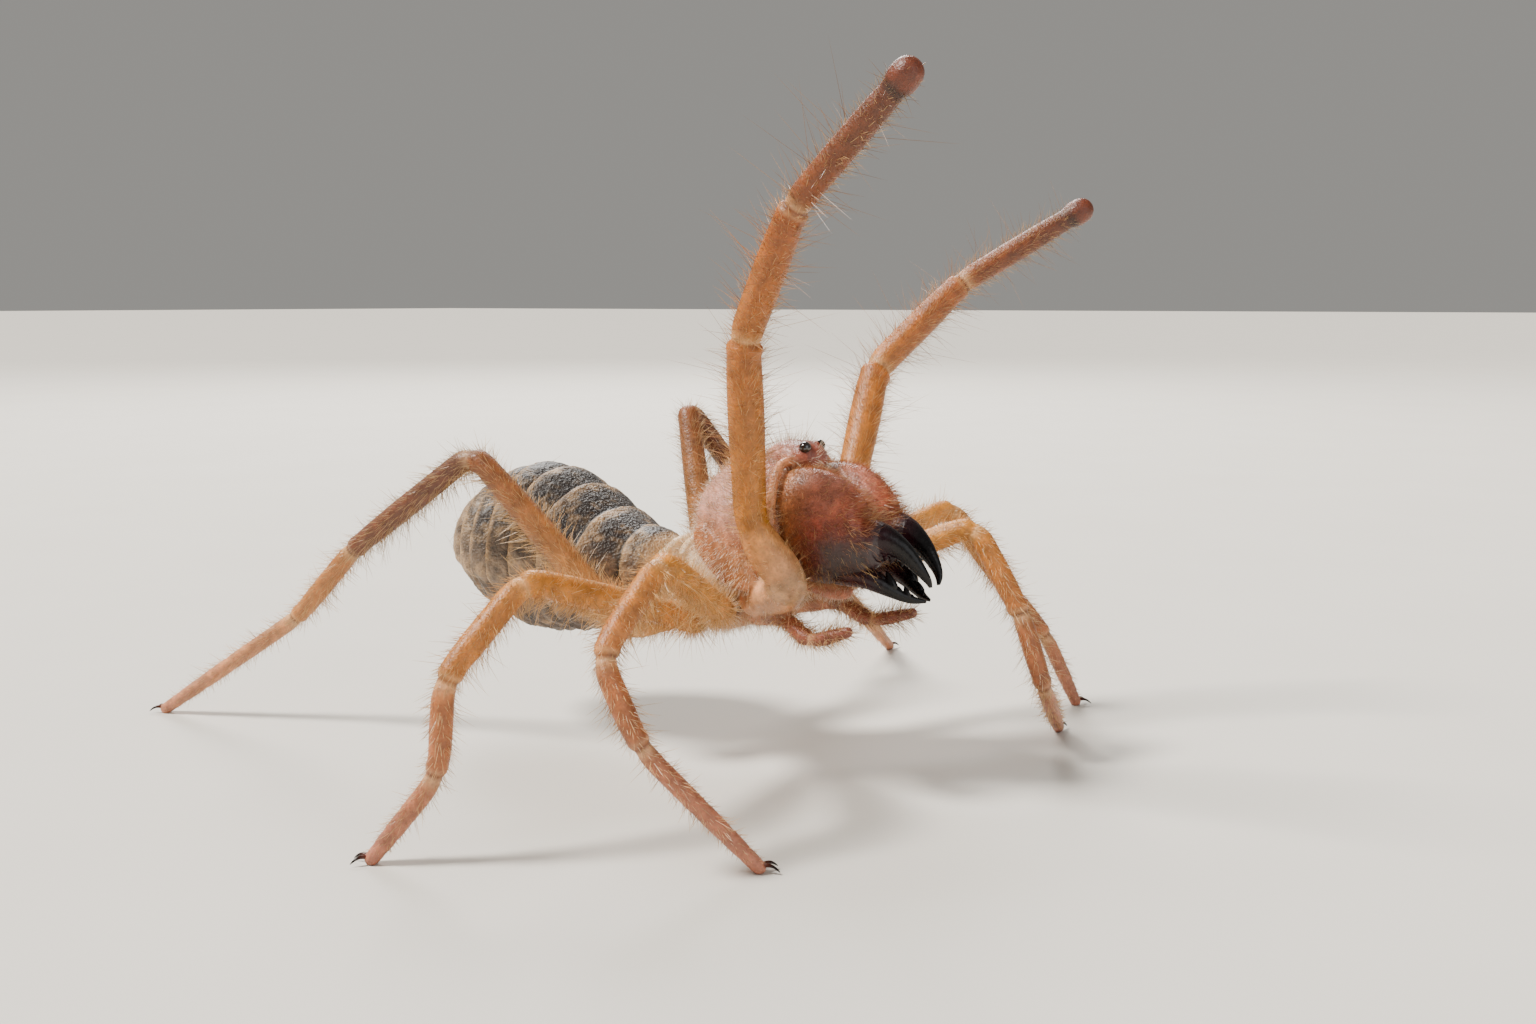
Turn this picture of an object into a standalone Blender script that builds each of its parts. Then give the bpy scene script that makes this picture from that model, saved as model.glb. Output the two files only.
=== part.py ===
"""Camel spider (solifuge), life size, standing with both palps raised.

The animal faces +X and its right side faces -Y. Sizes are in millimetres and become metres
as each mesh is made. The body is laid out round a point in the thorax, and the whole model
is then moved so that its box is centred on the origin and its feet stand on z = 0.
"""

import math

import bmesh
import bpy
import numpy as np
from mathutils import Matrix, Vector

MM = 0.001
GAP = 0.3
SIDES = {"right": -1, "left": 1}
FLOOR_REACH = 0.47

# Body, from the thorax backwards
ABDOMEN_MIDDLE_HEIGHT = 19.3
ABDOMEN_STATIONS = (
    # x, half width, rise of the back and drop of the belly from the middle line
    (-3.5, 3.9, 2.9, 3.8),
    (-6.6, 4.7, 3.5, 5.0),
    (-8.4, 5.9, 4.2, 6.0),
    (-10.2, 7.0, 4.9, 6.9),
    (-12.7, 8.0, 6.3, 8.0),
    (-15.0, 8.5, 7.6, 8.5),
    (-17.3, 8.7, 8.5, 8.7),
    (-19.6, 8.7, 8.9, 8.7),
    (-21.8, 8.4, 8.6, 8.2),
    (-24.4, 7.6, 7.8, 7.4),
    (-26.9, 6.4, 6.5, 6.1),
    (-29.5, 4.6, 4.6, 4.4),
    (-31.4, 2.5, 2.5, 2.4),
    (-32.0, 1.3, 1.3, 1.2),
)
# Where each segment ends and the next begins, from the front
ABDOMEN_RIMS = (-3.5, -6.9, -11.0, -14.8, -18.2, -21.3, -24.2, -26.8, -29.0, -30.8, -32.0)
ABDOMEN_SPANS = {"abdomen_front": (0, 3), "abdomen_middle": (3, 6), "abdomen_rear": (6, 10)}
ABDOMEN_FOLD = 0.09
FOLD_STEPS = (0.0, 0.35, 0.7, 0.86)
FOLD_CREST = 0.78
ABDOMEN_SIDES = 22

THORAX_STATIONS = (
    # x, middle z, half width, half height
    (-3.2, 17.7, 3.6, 3.4),
    (-1.7, 17.6, 4.8, 4.3),
    (-1.2, 17.6, 4.5, 4.0),
    (3.0, 18.1, 5.6, 4.9),
    (8.0, 18.6, 5.2, 3.9),
    (11.5, 18.7, 3.4, 2.2),
    (12.6, 18.7, 1.6, 1.0),
)

SHIELD_MIDDLE = (8.7, 0.0, 24.3)
SHIELD_HALF_SIZE = (7.5, 7.2, 6.9)
MOUND_MIDDLE = (11.6, 0.0, 31.0)
MOUND_HALF_SIZE = (3.2, 2.3, 1.7)
CHEEK_MIDDLE = (7.6, 6.1, 21.8)
CHEEK_HALF_SIZE = (4.4, 1.5, 2.3)
CHEEK_SLOPE = 35.0
EYE_RADIUS = 0.6
EYE_PLACE = (13.3, 1.3, 32.1)

# Chelicerae: the bulb runs on into the upper, fixed finger
CHELICERA_STATIONS = (
    # x, middle z, half width, half height
    (12.0, 25.3, 2.0, 3.9),
    (13.0, 25.3, 2.6, 5.0),
    (15.4, 25.0, 2.85, 5.4),
    (18.0, 24.3, 2.8, 4.8),
    (20.0, 23.9, 2.45, 3.7),
    (21.2, 23.9, 2.0, 2.6),
    (22.1, 24.1, 1.6, 1.85),
    (22.9, 24.0, 1.25, 1.4),
    (23.9, 23.5, 0.95, 1.08),
    (24.9, 22.65, 0.72, 0.84),
    (25.9, 21.45, 0.5, 0.57),
    (26.4, 20.6, 0.33, 0.38),
    (26.5, 19.9, 0.2, 0.24),
)
JAW_STATIONS = (
    (18.4, 21.0, 1.3, 1.2),
    (20.0, 20.85, 1.2, 1.15),
    (21.2, 20.45, 1.05, 1.0),
    (22.2, 19.95, 0.88, 0.84),
    (23.1, 19.45, 0.7, 0.66),
    (24.0, 18.95, 0.53, 0.5),
    (24.9, 18.6, 0.38, 0.38),
    (25.9, 18.45, 0.2, 0.24),
)
CHELICERA_BACK_OFFSET = 3.1
CHELICERA_TIP_OFFSET = 0.8
JAW_TIP_OFFSET = 0.45
HEAD_SIDES = 16
JAW_TEETH = ((22.2, 0.6), (23.1, 1.1), (24.4, 0.6))
FINGER_TEETH = ((23.3, 0.6), (24.3, 0.5))
TOOTH_RADIUS = 0.42

# Limbs: the joints next to the body on the left side, from the root inside the thorax
# outwards, then the lengths of the parts beyond them and the radius at each joint
LIMBS = {
    "palp": {
        "parts": ("hip", "knuckle", "thigh", "shin", "tip"),
        "base": ((9.0, 3.4, 17.4), (15.6, 6.9, 19.8), (12.0, 8.7, 25.0)),
        "lengths": (17.5, 13.5, 15.0),
        "radii": (1.9, 1.9, 1.5, 1.5, 1.25, 1.0),
    },
    "leg1": {
        "parts": ("hip", "shin", "tip"),
        "base": ((8.6, 2.8, 15.6), (13.4, 5.0, 16.4)),
        "lengths": (4.2, 4.6),
        "radii": (0.95, 0.75, 0.65, 0.5),
    },
    "leg2": {
        "parts": ("hip", "thigh", "knee", "shin", "foot"),
        "base": ((4.6, 2.8, 15.4), (8.6, 8.4, 17.0)),
        "lengths": (17.5, 10.0, 8.0, 14.0),
        "radii": (1.3, 1.2, 1.1, 0.95, 0.8, 0.6),
    },
    "leg3": {
        "parts": ("hip", "thigh", "knee", "shin", "foot"),
        "base": ((1.2, 3.0, 14.8), (5.0, 7.6, 15.6)),
        "lengths": (23.5, 10.5, 8.0, 9.0),
        "radii": (1.5, 1.3, 1.1, 0.95, 0.8, 0.62),
    },
    "leg4": {
        "parts": ("hip", "thigh", "knee", "shin", "foot"),
        "base": ((-1.6, 3.2, 14.6), (-4.0, 7.8, 14.0)),
        "lengths": (23.0, 19.0, 11.5, 20.5),
        "radii": (1.6, 1.45, 1.1, 1.0, 0.85, 0.62),
    },
}

# Pose: for each part beyond the hip, degrees outwards from straight ahead and degrees upwards.
# A foot's second angle is worked out from the floor.
POSE = {
    ("palp", "right"): ((77, 84), (19, 58), (6, 41)),
    ("palp", "left"): ((104, 51), (50, 43), (35, 31)),
    ("leg1", "right"): ((22, -25), (5, 20)),
    ("leg1", "left"): ((-6, -25), (8, 16)),
    ("leg2", "right"): ((74, 25), (95, -42), (0, -60), (-40, None)),
    ("leg2", "left"): ((22, 22), (0, -58), (0, -70), (105, None)),
    ("leg3", "right"): ((94, 18), (112, -45), (110, -85), (145, None)),
    ("leg3", "left"): ((65, 19), (35, -55), (35, -50), (50, None)),
    ("leg4", "right"): ((163, 47), (171, -35), (172, -45), (161, None)),
    ("leg4", "left"): ((140, 62), (64, -52), (63, -41), (96, None)),
}
LIMB_SIDES = 10
BEND_REACH = 3.8
BEND_SHARE = 0.42
WAIST = 0.86
SWELL = 0.12
PALP_TIP_SWELL = 0.36
CLAW_LENGTH = 1.7
CLAW_RADIUS = 0.27
CLAW_SPREAD = 24.0

COLOURS = {
    "amber_leg": ("C58F45", 0.45),
    "palp_skin": ("B8803F", 0.42),
    "abdomen_skin": ("5E574D", 0.6),
    "shield_skin": ("C9A08A", 0.45),
    "thorax_skin": ("C08A58", 0.5),
    "rust_chelicera": ("8A4A38", 0.38),
    "black_finger": ("1A1418", 0.2),
    "eye_black": ("0A0807", 0.05),
}


def clear_scene():
    """Start from nothing."""
    for thing in list(bpy.data.objects):
        bpy.data.objects.remove(thing, do_unlink=True)


def new_collection(name):
    collection = bpy.data.collections.new(name)
    bpy.context.scene.collection.children.link(collection)
    return collection


def linear(hex_colour):
    """The linear value of an sRGB colour."""
    channels = [int(hex_colour[i : i + 2], 16) / 255 for i in (0, 2, 4)]
    return [c / 12.92 if c <= 0.04045 else ((c + 0.055) / 1.055) ** 2.4 for c in channels] + [1.0]


def material(name, kind):
    colour, roughness = COLOURS[kind]
    made = bpy.data.materials.new(name)
    made.use_nodes = True
    shader = made.node_tree.nodes["Principled BSDF"]
    shader.inputs["Base Color"].default_value = linear(colour)
    shader.inputs["Roughness"].default_value = roughness
    shader.inputs["Metallic"].default_value = 0.0
    return made


def new_object(name, mesh_data, collection, kind=None):
    """Turn a bmesh in millimetres into a smooth-shaded object in metres."""
    bmesh.ops.recalc_face_normals(mesh_data, faces=mesh_data.faces)
    bmesh.ops.scale(mesh_data, vec=(MM, MM, MM), verts=mesh_data.verts)
    mesh = bpy.data.meshes.new(name)
    mesh_data.to_mesh(mesh)
    mesh_data.free()
    mesh.shade_smooth()
    mesh.set_sharp_from_angle(angle=math.radians(40))
    thing = bpy.data.objects.new(name, mesh)
    if kind:
        mesh.materials.append(material(name, kind))
    collection.objects.link(thing)
    return thing


def loft(rings):
    """A closed mesh through rings of points, with flat ends."""
    mesh_data = bmesh.new()
    rows = [[mesh_data.verts.new(point) for point in ring] for ring in rings]
    count = len(rows[0])
    for front, back in zip(rows, rows[1:]):
        for i in range(count):
            j = (i + 1) % count
            mesh_data.faces.new((front[i], front[j], back[j], back[i]))
    mesh_data.faces.new(rows[0])
    mesh_data.faces.new(rows[-1])
    return mesh_data


def ellipse_ring(middle, across, upward, half_width, half_height, sides):
    angles = [2 * math.pi * (i + 0.5) / sides for i in range(sides)]
    return [
        middle + across * half_width * math.cos(a) + upward * half_height * math.sin(a) for a in angles
    ]


def ellipsoid(middle, half_size, segments=20, rings=12, tilt=0.0):
    """An ellipsoid, tilted nose down by some degrees about Y."""
    mesh_data = bmesh.new()
    bmesh.ops.create_uvsphere(mesh_data, u_segments=segments, v_segments=rings, radius=1.0)
    place = Matrix.Translation(middle) @ Matrix.Rotation(math.radians(tilt), 4, "Y")
    bmesh.ops.transform(mesh_data, matrix=place @ Matrix.Diagonal((*half_size, 1.0)), verts=mesh_data.verts)
    return mesh_data


def cone(base, direction, length, radius, sides=5):
    """A small pointed cone whose root is sunk a little behind its base point."""
    direction = direction.normalized()
    mesh_data = bmesh.new()
    bmesh.ops.create_cone(
        mesh_data, cap_ends=True, segments=sides, radius1=radius, radius2=radius * 0.2, depth=length
    )
    turn = direction.to_track_quat("Z", "Y").to_matrix().to_4x4()
    bmesh.ops.transform(
        mesh_data, matrix=Matrix.Translation(base + direction * length * 0.5) @ turn, verts=mesh_data.verts
    )
    return mesh_data


def hide_cutter(thing):
    thing.hide_render = True
    thing.display_type = "WIRE"


def grown(thing, cutters, by=GAP):
    """A copy of a piece, larger all round by the gap that neighbours keep."""
    copy = bpy.data.objects.new(thing.name + "_room", thing.data.copy())
    mesh_data = bmesh.new()
    mesh_data.from_mesh(copy.data)
    mesh_data.normal_update()
    for vert in mesh_data.verts:
        vert.co += vert.normal * by * MM
    mesh_data.to_mesh(copy.data)
    mesh_data.free()
    cutters.objects.link(copy)
    hide_cutter(copy)
    return copy


def apply_modifiers(thing):
    """Replace the object's mesh by its evaluated one."""
    graph = bpy.context.evaluated_depsgraph_get()
    mesh = bpy.data.meshes.new_from_object(thing.evaluated_get(graph))
    thing.modifiers.clear()
    thing.data = mesh


def keep_largest(thing):
    """Keep only the largest closed surface of a mesh, counting faces that share an edge as one."""
    mesh_data = bmesh.new()
    mesh_data.from_mesh(thing.data)
    left = set(mesh_data.faces)
    surfaces = []
    while left:
        queue = [left.pop()]
        surface = set(queue)
        while queue:
            neighbours = {face for edge in queue.pop().edges for face in edge.link_faces}
            fresh = neighbours & left
            left -= fresh
            surface |= fresh
            queue.extend(fresh)
        surfaces.append(surface)
    largest = max(surfaces, key=lambda surface: sum(face.calc_area() for face in surface))
    scraps = [face for face in mesh_data.faces if face not in largest]
    bmesh.ops.delete(mesh_data, geom=scraps, context="FACES")
    mesh_data.to_mesh(thing.data)
    mesh_data.free()


def join_pieces(thing, pieces):
    """Fuse small closed pieces into an object, with one Boolean union."""
    group = bpy.data.collections.new(thing.name + "_pieces")
    bpy.context.scene.collection.children.link(group)
    for number, mesh_data in enumerate(pieces):
        new_object(f"{thing.name}_piece{number}", mesh_data, group)
    union = thing.modifiers.new("union", "BOOLEAN")
    union.operation = "UNION"
    union.operand_type = "COLLECTION"
    union.collection = group
    union.solver = "EXACT"
    apply_modifiers(thing)
    for piece in list(group.objects):
        bpy.data.objects.remove(piece, do_unlink=True)
    bpy.data.collections.remove(group)
    keep_largest(thing)


def cut(thing, cutter, solver):
    modifier = thing.modifiers.new("clear_of_" + cutter.name, "BOOLEAN")
    modifier.operation = "DIFFERENCE"
    modifier.object = cutter
    modifier.solver = solver


def cut_all(thing, cutters, solver="EXACT"):
    for cutter in cutters:
        cut(thing, cutter, solver)
    apply_modifiers(thing)
    keep_largest(thing)


def station_loft(stations, sides, offset=lambda share: 0.0):
    """A loft along X through stations, turned so that each ring faces along the middle line."""
    middles = [Vector((x, 0.0, z)) for x, z, _, _ in stations]
    rings = []
    for i, (_, _, half_width, half_height) in enumerate(stations):
        along = (middles[min(i + 1, len(middles) - 1)] - middles[max(i - 1, 0)]).normalized()
        upward = along.cross(Vector((0.0, -1.0, 0.0))).normalized()
        share = i / (len(stations) - 1)
        middle = middles[i] + Vector((0.0, offset(share), 0.0))
        rings.append(
            ellipse_ring(middle, Vector((0.0, 1.0, 0.0)), -upward, half_width, half_height, sides)
        )
    return loft(rings)


def abdomen_ring(place, forward=0.0):
    """A ring of the abdomen, place being counted in segments, moved forward by some mm."""
    x = float(np.interp(place, range(len(ABDOMEN_RIMS)), ABDOMEN_RIMS)) + forward
    behind = [-station[0] for station in ABDOMEN_STATIONS]
    half_width, rise, drop = (
        float(np.interp(-x, behind, [station[i] for station in ABDOMEN_STATIONS])) for i in (1, 2, 3)
    )
    within = place % 1.0
    fold = ABDOMEN_FOLD * (within / FOLD_CREST) ** 1.4 if within < FOLD_CREST else 0.0
    size = 1.0 - ABDOMEN_FOLD * 0.5 + fold
    ring = []
    for i in range(ABDOMEN_SIDES):
        angle = 2 * math.pi * (i + 0.5) / ABDOMEN_SIDES
        height = rise if math.sin(angle) > 0 else drop
        across, upward = half_width * math.cos(angle), height * math.sin(angle)
        ring.append(Vector((x, size * across, ABDOMEN_MIDDLE_HEIGHT + size * upward)))
    return ring


def build_abdomen(parts):
    """Three lengths of the ringed abdomen, each segment's rear rim standing over the next."""
    for name, (first, last) in ABDOMEN_SPANS.items():
        rings = [abdomen_ring(segment + step) for segment in range(first, last) for step in FOLD_STEPS]
        rings[0] = abdomen_ring(first, -GAP / 2)
        rings.append(abdomen_ring(last, GAP / 2 if last < len(ABDOMEN_RIMS) - 1 else 0.0))
        new_object(name, loft(rings), parts, "abdomen_skin")


def build_thorax(parts):
    return new_object("thorax", station_loft(THORAX_STATIONS, 20), parts, "thorax_skin")


def shield_dome(by=0.0):
    """The dome of the head shield, larger all round by a given length."""
    return ellipsoid(SHIELD_MIDDLE, [half + by for half in SHIELD_HALF_SIZE], 24, 14)


def cheek(side, by=0.0):
    """The lobe under one edge of the head shield."""
    middle = (CHEEK_MIDDLE[0], side * CHEEK_MIDDLE[1], CHEEK_MIDDLE[2])
    return ellipsoid(middle, [half + by for half in CHEEK_HALF_SIZE], 12, 8, CHEEK_SLOPE)


def build_head(parts, cutters, thorax_room, chelicera_rooms):
    """The domed head shield with its cheeks and eye mound, and the two eyes."""
    shield = new_object("head_shield", shield_dome(), parts, "shield_skin")
    mound = ellipsoid(MOUND_MIDDLE, MOUND_HALF_SIZE, 16, 8)
    join_pieces(shield, [mound] + [cheek(side) for side in SIDES.values()])
    eye_rooms = []
    for side_name, side in SIDES.items():
        place = (EYE_PLACE[0], side * EYE_PLACE[1], EYE_PLACE[2])
        eye = new_object(
            "eye_" + side_name, ellipsoid(place, (EYE_RADIUS,) * 3, 12, 8), parts, "eye_black"
        )
        eye_rooms.append(grown(eye, cutters))
    cut_all(shield, [thorax_room] + eye_rooms + chelicera_rooms)
    rooms = [new_object("head_shield_room", shield_dome(GAP), cutters)]
    for side_name, side in SIDES.items():
        rooms.append(new_object("cheek_room_" + side_name, cheek(side, GAP), cutters))
    for room in rooms:
        hide_cutter(room)
    return rooms


def chelicera_offset(side, tip_offset=CHELICERA_TIP_OFFSET):
    """How far from the middle plane the chelicera's own middle line runs, back to tip."""
    return lambda share: side * (
        CHELICERA_BACK_OFFSET + (tip_offset - CHELICERA_BACK_OFFSET) * share**2
    )


def teeth(stations, table, offset, upward):
    """Cones along a finger's biting edge."""
    grown_teeth = []
    xs = [station[0] for station in stations]
    for x, length in table:
        z = float(np.interp(x, xs, [s[1] + upward * s[3] for s in stations]))
        share = float(np.interp(x, xs, np.linspace(0, 1, len(xs))))
        base = Vector((x, offset(share), z - upward * 0.45))
        lean = Vector((-0.15, 0.0, upward))
        grown_teeth.append(cone(base, lean, length + 0.45, TOOTH_RADIUS))
    return grown_teeth


def build_chelicera(side_name, side, parts, cutters, thorax_room):
    """One chelicera, bulb and fixed finger in one, and its movable finger, the jaw."""
    offset = chelicera_offset(side)
    bulb = new_object(
        "chelicera_" + side_name,
        station_loft(CHELICERA_STATIONS, HEAD_SIDES, offset),
        parts,
        "rust_chelicera",
    )
    room = grown(bulb, cutters)
    join_pieces(bulb, teeth(CHELICERA_STATIONS, FINGER_TEETH, offset, -1))
    cut_all(bulb, [thorax_room])
    offset = chelicera_offset(side, JAW_TIP_OFFSET)
    jaw = new_object(
        "jaw_" + side_name,
        station_loft(JAW_STATIONS, 12, offset),
        parts,
        "black_finger",
    )
    join_pieces(jaw, teeth(JAW_STATIONS, JAW_TEETH, offset, 1))
    cut_all(jaw, [room, thorax_room])
    return room


def heading(outward, upward, side):
    """A unit vector for a pose's two angles, on one side of the body."""
    out, up = math.radians(outward), math.radians(upward)
    return Vector((math.cos(up) * math.cos(out), side * math.cos(up) * math.sin(out), math.sin(up)))


def limb_joints(kind, side_name):
    """The joints of a limb, from the coxa's root in the thorax to its tip."""
    side, limb = SIDES[side_name], LIMBS[kind]
    joints = [Vector((x, side * y, z)) for x, y, z in limb["base"]]
    for length, (outward, upward) in zip(limb["lengths"], POSE[kind, side_name]):
        if upward is None:
            upward = math.degrees(math.asin((FLOOR_REACH - joints[-1].z) / length))
        joints.append(joints[-1] + heading(outward, upward, side) * length)
    return joints


def bend_points(before, joint, after):
    """Points and directions round a joint's rounded corner, the middle one on the joint's face."""
    into, out = (joint - before), (after - joint)
    reach = min(BEND_REACH, into.length * BEND_SHARE, out.length * BEND_SHARE)
    into.normalize()
    out.normalize()
    start, end = joint - into * reach, joint + out * reach
    made = []
    for t in (0.0, 0.25, 0.5, 0.75, 1.0):
        point = start * (1 - t) ** 2 + joint * 2 * t * (1 - t) + end * t**2
        made.append((point, (into * (1 - t) + out * t).normalized()))
    return made


def segment_rings(joints, radii, number, tip_swell):
    """Rings of one part of a limb, from joint face to joint face with half the gap at each."""
    count = len(joints) - 1
    start, end = joints[number], joints[number + 1]
    straight = (end - start).normalized()
    if number == 0:
        head = [(start, straight)]
    else:
        head = bend_points(joints[number - 1], start, end)[2:]
        head[0] = (head[0][0] + head[0][1] * GAP / 2, head[0][1])
    if number == count - 1:
        tail = [(end, straight)]
    else:
        tail = bend_points(start, end, joints[number + 2])[:3]
        tail[2] = (tail[2][0] - tail[2][1] * GAP / 2, tail[2][1])
    between = [(head[-1][0].lerp(tail[0][0], share), straight) for share in (0.33, 0.67)]
    stops = head + between + tail
    travelled = np.cumsum([0.0] + [(b[0] - a[0]).length for a, b in zip(stops, stops[1:])])
    rings = []
    for (point, along), way in zip(stops, travelled / travelled[-1]):
        radius = radii[number] + (radii[number + 1] - radii[number]) * way
        radius *= 1 + SWELL * math.sin(math.pi * way**1.5)
        if 0 < number and way == 0.0 or way == 1.0 and number < count - 1:
            radius *= WAIST
        if number == count - 1:
            radius *= 1 + tip_swell * max(0.0, way - 0.6) / 0.4
        across = along.cross(Vector((0.13, 0.31, 0.94))).normalized()
        rings.append(ellipse_ring(point, across, across.cross(along), radius, radius, LIMB_SIDES))
    return rings


def rounded_tip(rings):
    """The rings of a limb's last part, with its end rounded off."""
    middle = sum(rings[-1], Vector()) / LIMB_SIDES
    radius = (rings[-1][0] - middle).length
    along = (middle - sum(rings[-2], Vector()) / LIMB_SIDES).normalized()
    caps = []
    for forward, size in ((0.55, 0.82), (0.9, 0.42)):
        caps.append([middle + along * radius * forward + (point - middle) * size for point in rings[-1]])
    return rings + caps


def flatten_sole(mesh_data):
    """Cut what would reach below the floor, and close the cut with a flat."""
    cut_faces = bmesh.ops.bisect_plane(
        mesh_data,
        geom=mesh_data.verts[:] + mesh_data.edges[:] + mesh_data.faces[:],
        plane_co=(0.0, 0.0, 0.0),
        plane_no=(0.0, 0.0, 1.0),
        clear_inner=True,
    )
    edges = [piece for piece in cut_faces["geom_cut"] if isinstance(piece, bmesh.types.BMEdge)]
    bmesh.ops.edgeloop_fill(mesh_data, edges=edges)


def claws(joints):
    """A foot's two curved claws, spread and lying just above the floor."""
    along = joints[-1] - joints[-2]
    flat = Vector((along.x, along.y, 0.0)).normalized()
    made = []
    for spread in (-CLAW_SPREAD, CLAW_SPREAD):
        forward = Matrix.Rotation(math.radians(spread), 3, "Z") @ flat
        base = joints[-1] + flat * 0.1 + Vector((0.0, 0.0, 0.05))
        made.append(cone(base, forward + Vector((0.0, 0.0, 0.08)), CLAW_LENGTH, CLAW_RADIUS))
    return made


def build_limb(kind, side_name, parts, cutters, body_rooms, hip_rooms):
    """The parts of one limb, each its own object, clear of the body and of the other hips."""
    limb = LIMBS[kind]
    joints = limb_joints(kind, side_name)
    skin = "palp_skin" if kind == "palp" else "amber_leg"
    tip_swell = PALP_TIP_SWELL if kind == "palp" else 0.0
    for number, part in enumerate(limb["parts"]):
        rings = segment_rings(joints, limb["radii"], number, tip_swell)
        if number == len(limb["parts"]) - 1:
            rings = rounded_tip(rings)
        mesh_data = loft(rings)
        if part == "foot":
            flatten_sole(mesh_data)
        piece = new_object(f"{kind}_{side_name}_{part}", mesh_data, parts, skin)
        if part == "foot":
            join_pieces(piece, claws(joints))
        if part == "hip":
            room = grown(piece, cutters)
            cut_all(piece, body_rooms + hip_rooms, "MANIFOLD")
            hip_rooms.append(room)
        elif number <= len(limb["base"]) - 1:
            cut_all(piece, body_rooms, "MANIFOLD")


def stand_on_origin(parts):
    """Move every part so that the model's box is centred on the origin."""
    corners = np.array([vert.co for thing in parts.objects for vert in thing.data.vertices])
    middle = (corners.min(axis=0) + corners.max(axis=0)) / 2
    root = bpy.data.objects.new("camel_spider_root", None)
    bpy.context.scene.collection.objects.link(root)
    for thing in parts.objects:
        thing.parent = root
    root.location = (-middle[0], -middle[1], 0.0)


def main():
    clear_scene()
    parts = new_collection("camel_spider")
    cutters = new_collection("cutters")
    thorax = build_thorax(parts)
    thorax_room = grown(thorax, cutters)
    build_abdomen(parts)
    chelicera_rooms = [
        build_chelicera(side_name, side, parts, cutters, thorax_room) for side_name, side in SIDES.items()
    ]
    shield_rooms = build_head(parts, cutters, thorax_room, chelicera_rooms)
    body_rooms = [thorax_room] + shield_rooms + chelicera_rooms
    for side_name in SIDES:
        hip_rooms = []
        for kind in LIMBS:
            build_limb(kind, side_name, parts, cutters, body_rooms, hip_rooms)
    stand_on_origin(parts)


main()
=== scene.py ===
"""Camel spider (solifuge), life size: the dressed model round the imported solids.

The animal faces +X and its right side faces -Y. Shapes are worked out in millimetres round a
point in the thorax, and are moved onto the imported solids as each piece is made.
"""

import math

import bpy
import numpy as np
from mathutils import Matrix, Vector, noise
from mathutils.kdtree import KDTree


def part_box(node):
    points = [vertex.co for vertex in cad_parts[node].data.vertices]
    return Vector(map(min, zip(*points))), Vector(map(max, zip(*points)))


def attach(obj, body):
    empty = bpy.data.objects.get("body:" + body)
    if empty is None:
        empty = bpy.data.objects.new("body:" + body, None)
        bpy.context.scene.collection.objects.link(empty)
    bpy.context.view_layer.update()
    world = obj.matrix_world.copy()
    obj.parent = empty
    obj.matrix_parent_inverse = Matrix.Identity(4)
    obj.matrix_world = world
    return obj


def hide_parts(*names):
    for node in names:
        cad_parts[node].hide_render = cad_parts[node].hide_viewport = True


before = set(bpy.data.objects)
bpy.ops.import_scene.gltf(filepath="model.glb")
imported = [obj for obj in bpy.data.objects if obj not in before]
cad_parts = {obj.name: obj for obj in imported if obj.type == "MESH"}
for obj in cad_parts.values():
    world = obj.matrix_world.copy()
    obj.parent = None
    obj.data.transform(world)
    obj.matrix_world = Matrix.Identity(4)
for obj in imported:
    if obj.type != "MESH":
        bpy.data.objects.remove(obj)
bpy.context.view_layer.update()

MM = 0.001
SIDES = {"right": -1, "left": 1}
FLOOR_REACH = 0.47

# Body, in mm. Abdomen, shield, mound, cheeks, eyes and limbs have the sizes of the solids.
# The back of the thorax, the fingers, the teeth and the claws are finer here than there.
ABDOMEN_MIDDLE_HEIGHT = 19.3
ABDOMEN_STATIONS = (
    # x, half width, rise of the back and drop of the belly from the middle line
    (-3.5, 3.9, 2.9, 3.8),
    (-6.6, 4.7, 3.5, 5.0),
    (-8.4, 5.9, 4.2, 6.0),
    (-10.2, 7.0, 4.9, 6.9),
    (-12.7, 8.0, 6.3, 8.0),
    (-15.0, 8.5, 7.6, 8.5),
    (-17.3, 8.7, 8.5, 8.7),
    (-19.6, 8.7, 8.9, 8.7),
    (-21.8, 8.4, 8.6, 8.2),
    (-24.4, 7.6, 7.8, 7.4),
    (-26.9, 6.4, 6.5, 6.1),
    (-29.5, 4.6, 4.6, 4.4),
    (-31.4, 2.5, 2.5, 2.4),
    (-32.0, 1.3, 1.3, 1.2),
)
# Where each segment ends and the next begins, from the front
ABDOMEN_RIMS = (-3.5, -6.9, -11.0, -14.8, -18.2, -21.3, -24.2, -26.8, -29.0, -30.8, -32.0)
FOLD_CREST = 0.78
ABDOMEN_RINGS = 210
ABDOMEN_SIDES = 128
THORAX_STATIONS = (
    # x, middle z, half width, half height
    (-4.8, 18.4, 2.8, 2.7),
    (-3.2, 18.0, 3.6, 3.6),
    (-1.7, 17.6, 4.8, 4.3),
    (-1.2, 17.6, 4.4, 3.9),
    (3.0, 18.1, 5.6, 4.9),
    (8.0, 18.6, 5.2, 3.9),
    (11.5, 18.7, 3.4, 2.2),
    (12.6, 18.7, 1.6, 1.0),
)
SHIELD_MIDDLE = (8.7, 0.0, 24.3)
SHIELD_HALF_SIZE = (7.5, 7.2, 6.9)
MOUND_MIDDLE = (11.6, 0.0, 31.0)
MOUND_HALF_SIZE = (3.2, 2.3, 1.7)
CHEEK_MIDDLE = (7.6, 6.1, 21.8)
CHEEK_HALF_SIZE = (4.4, 1.5, 2.3)
CHEEK_SLOPE = 35.0
LIP_MIDDLE = (14.6, 0.0, 19.0)
LIP_HALF_SIZE = (3.4, 1.5, 1.3)
LIP_SLOPE = 12.0
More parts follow.
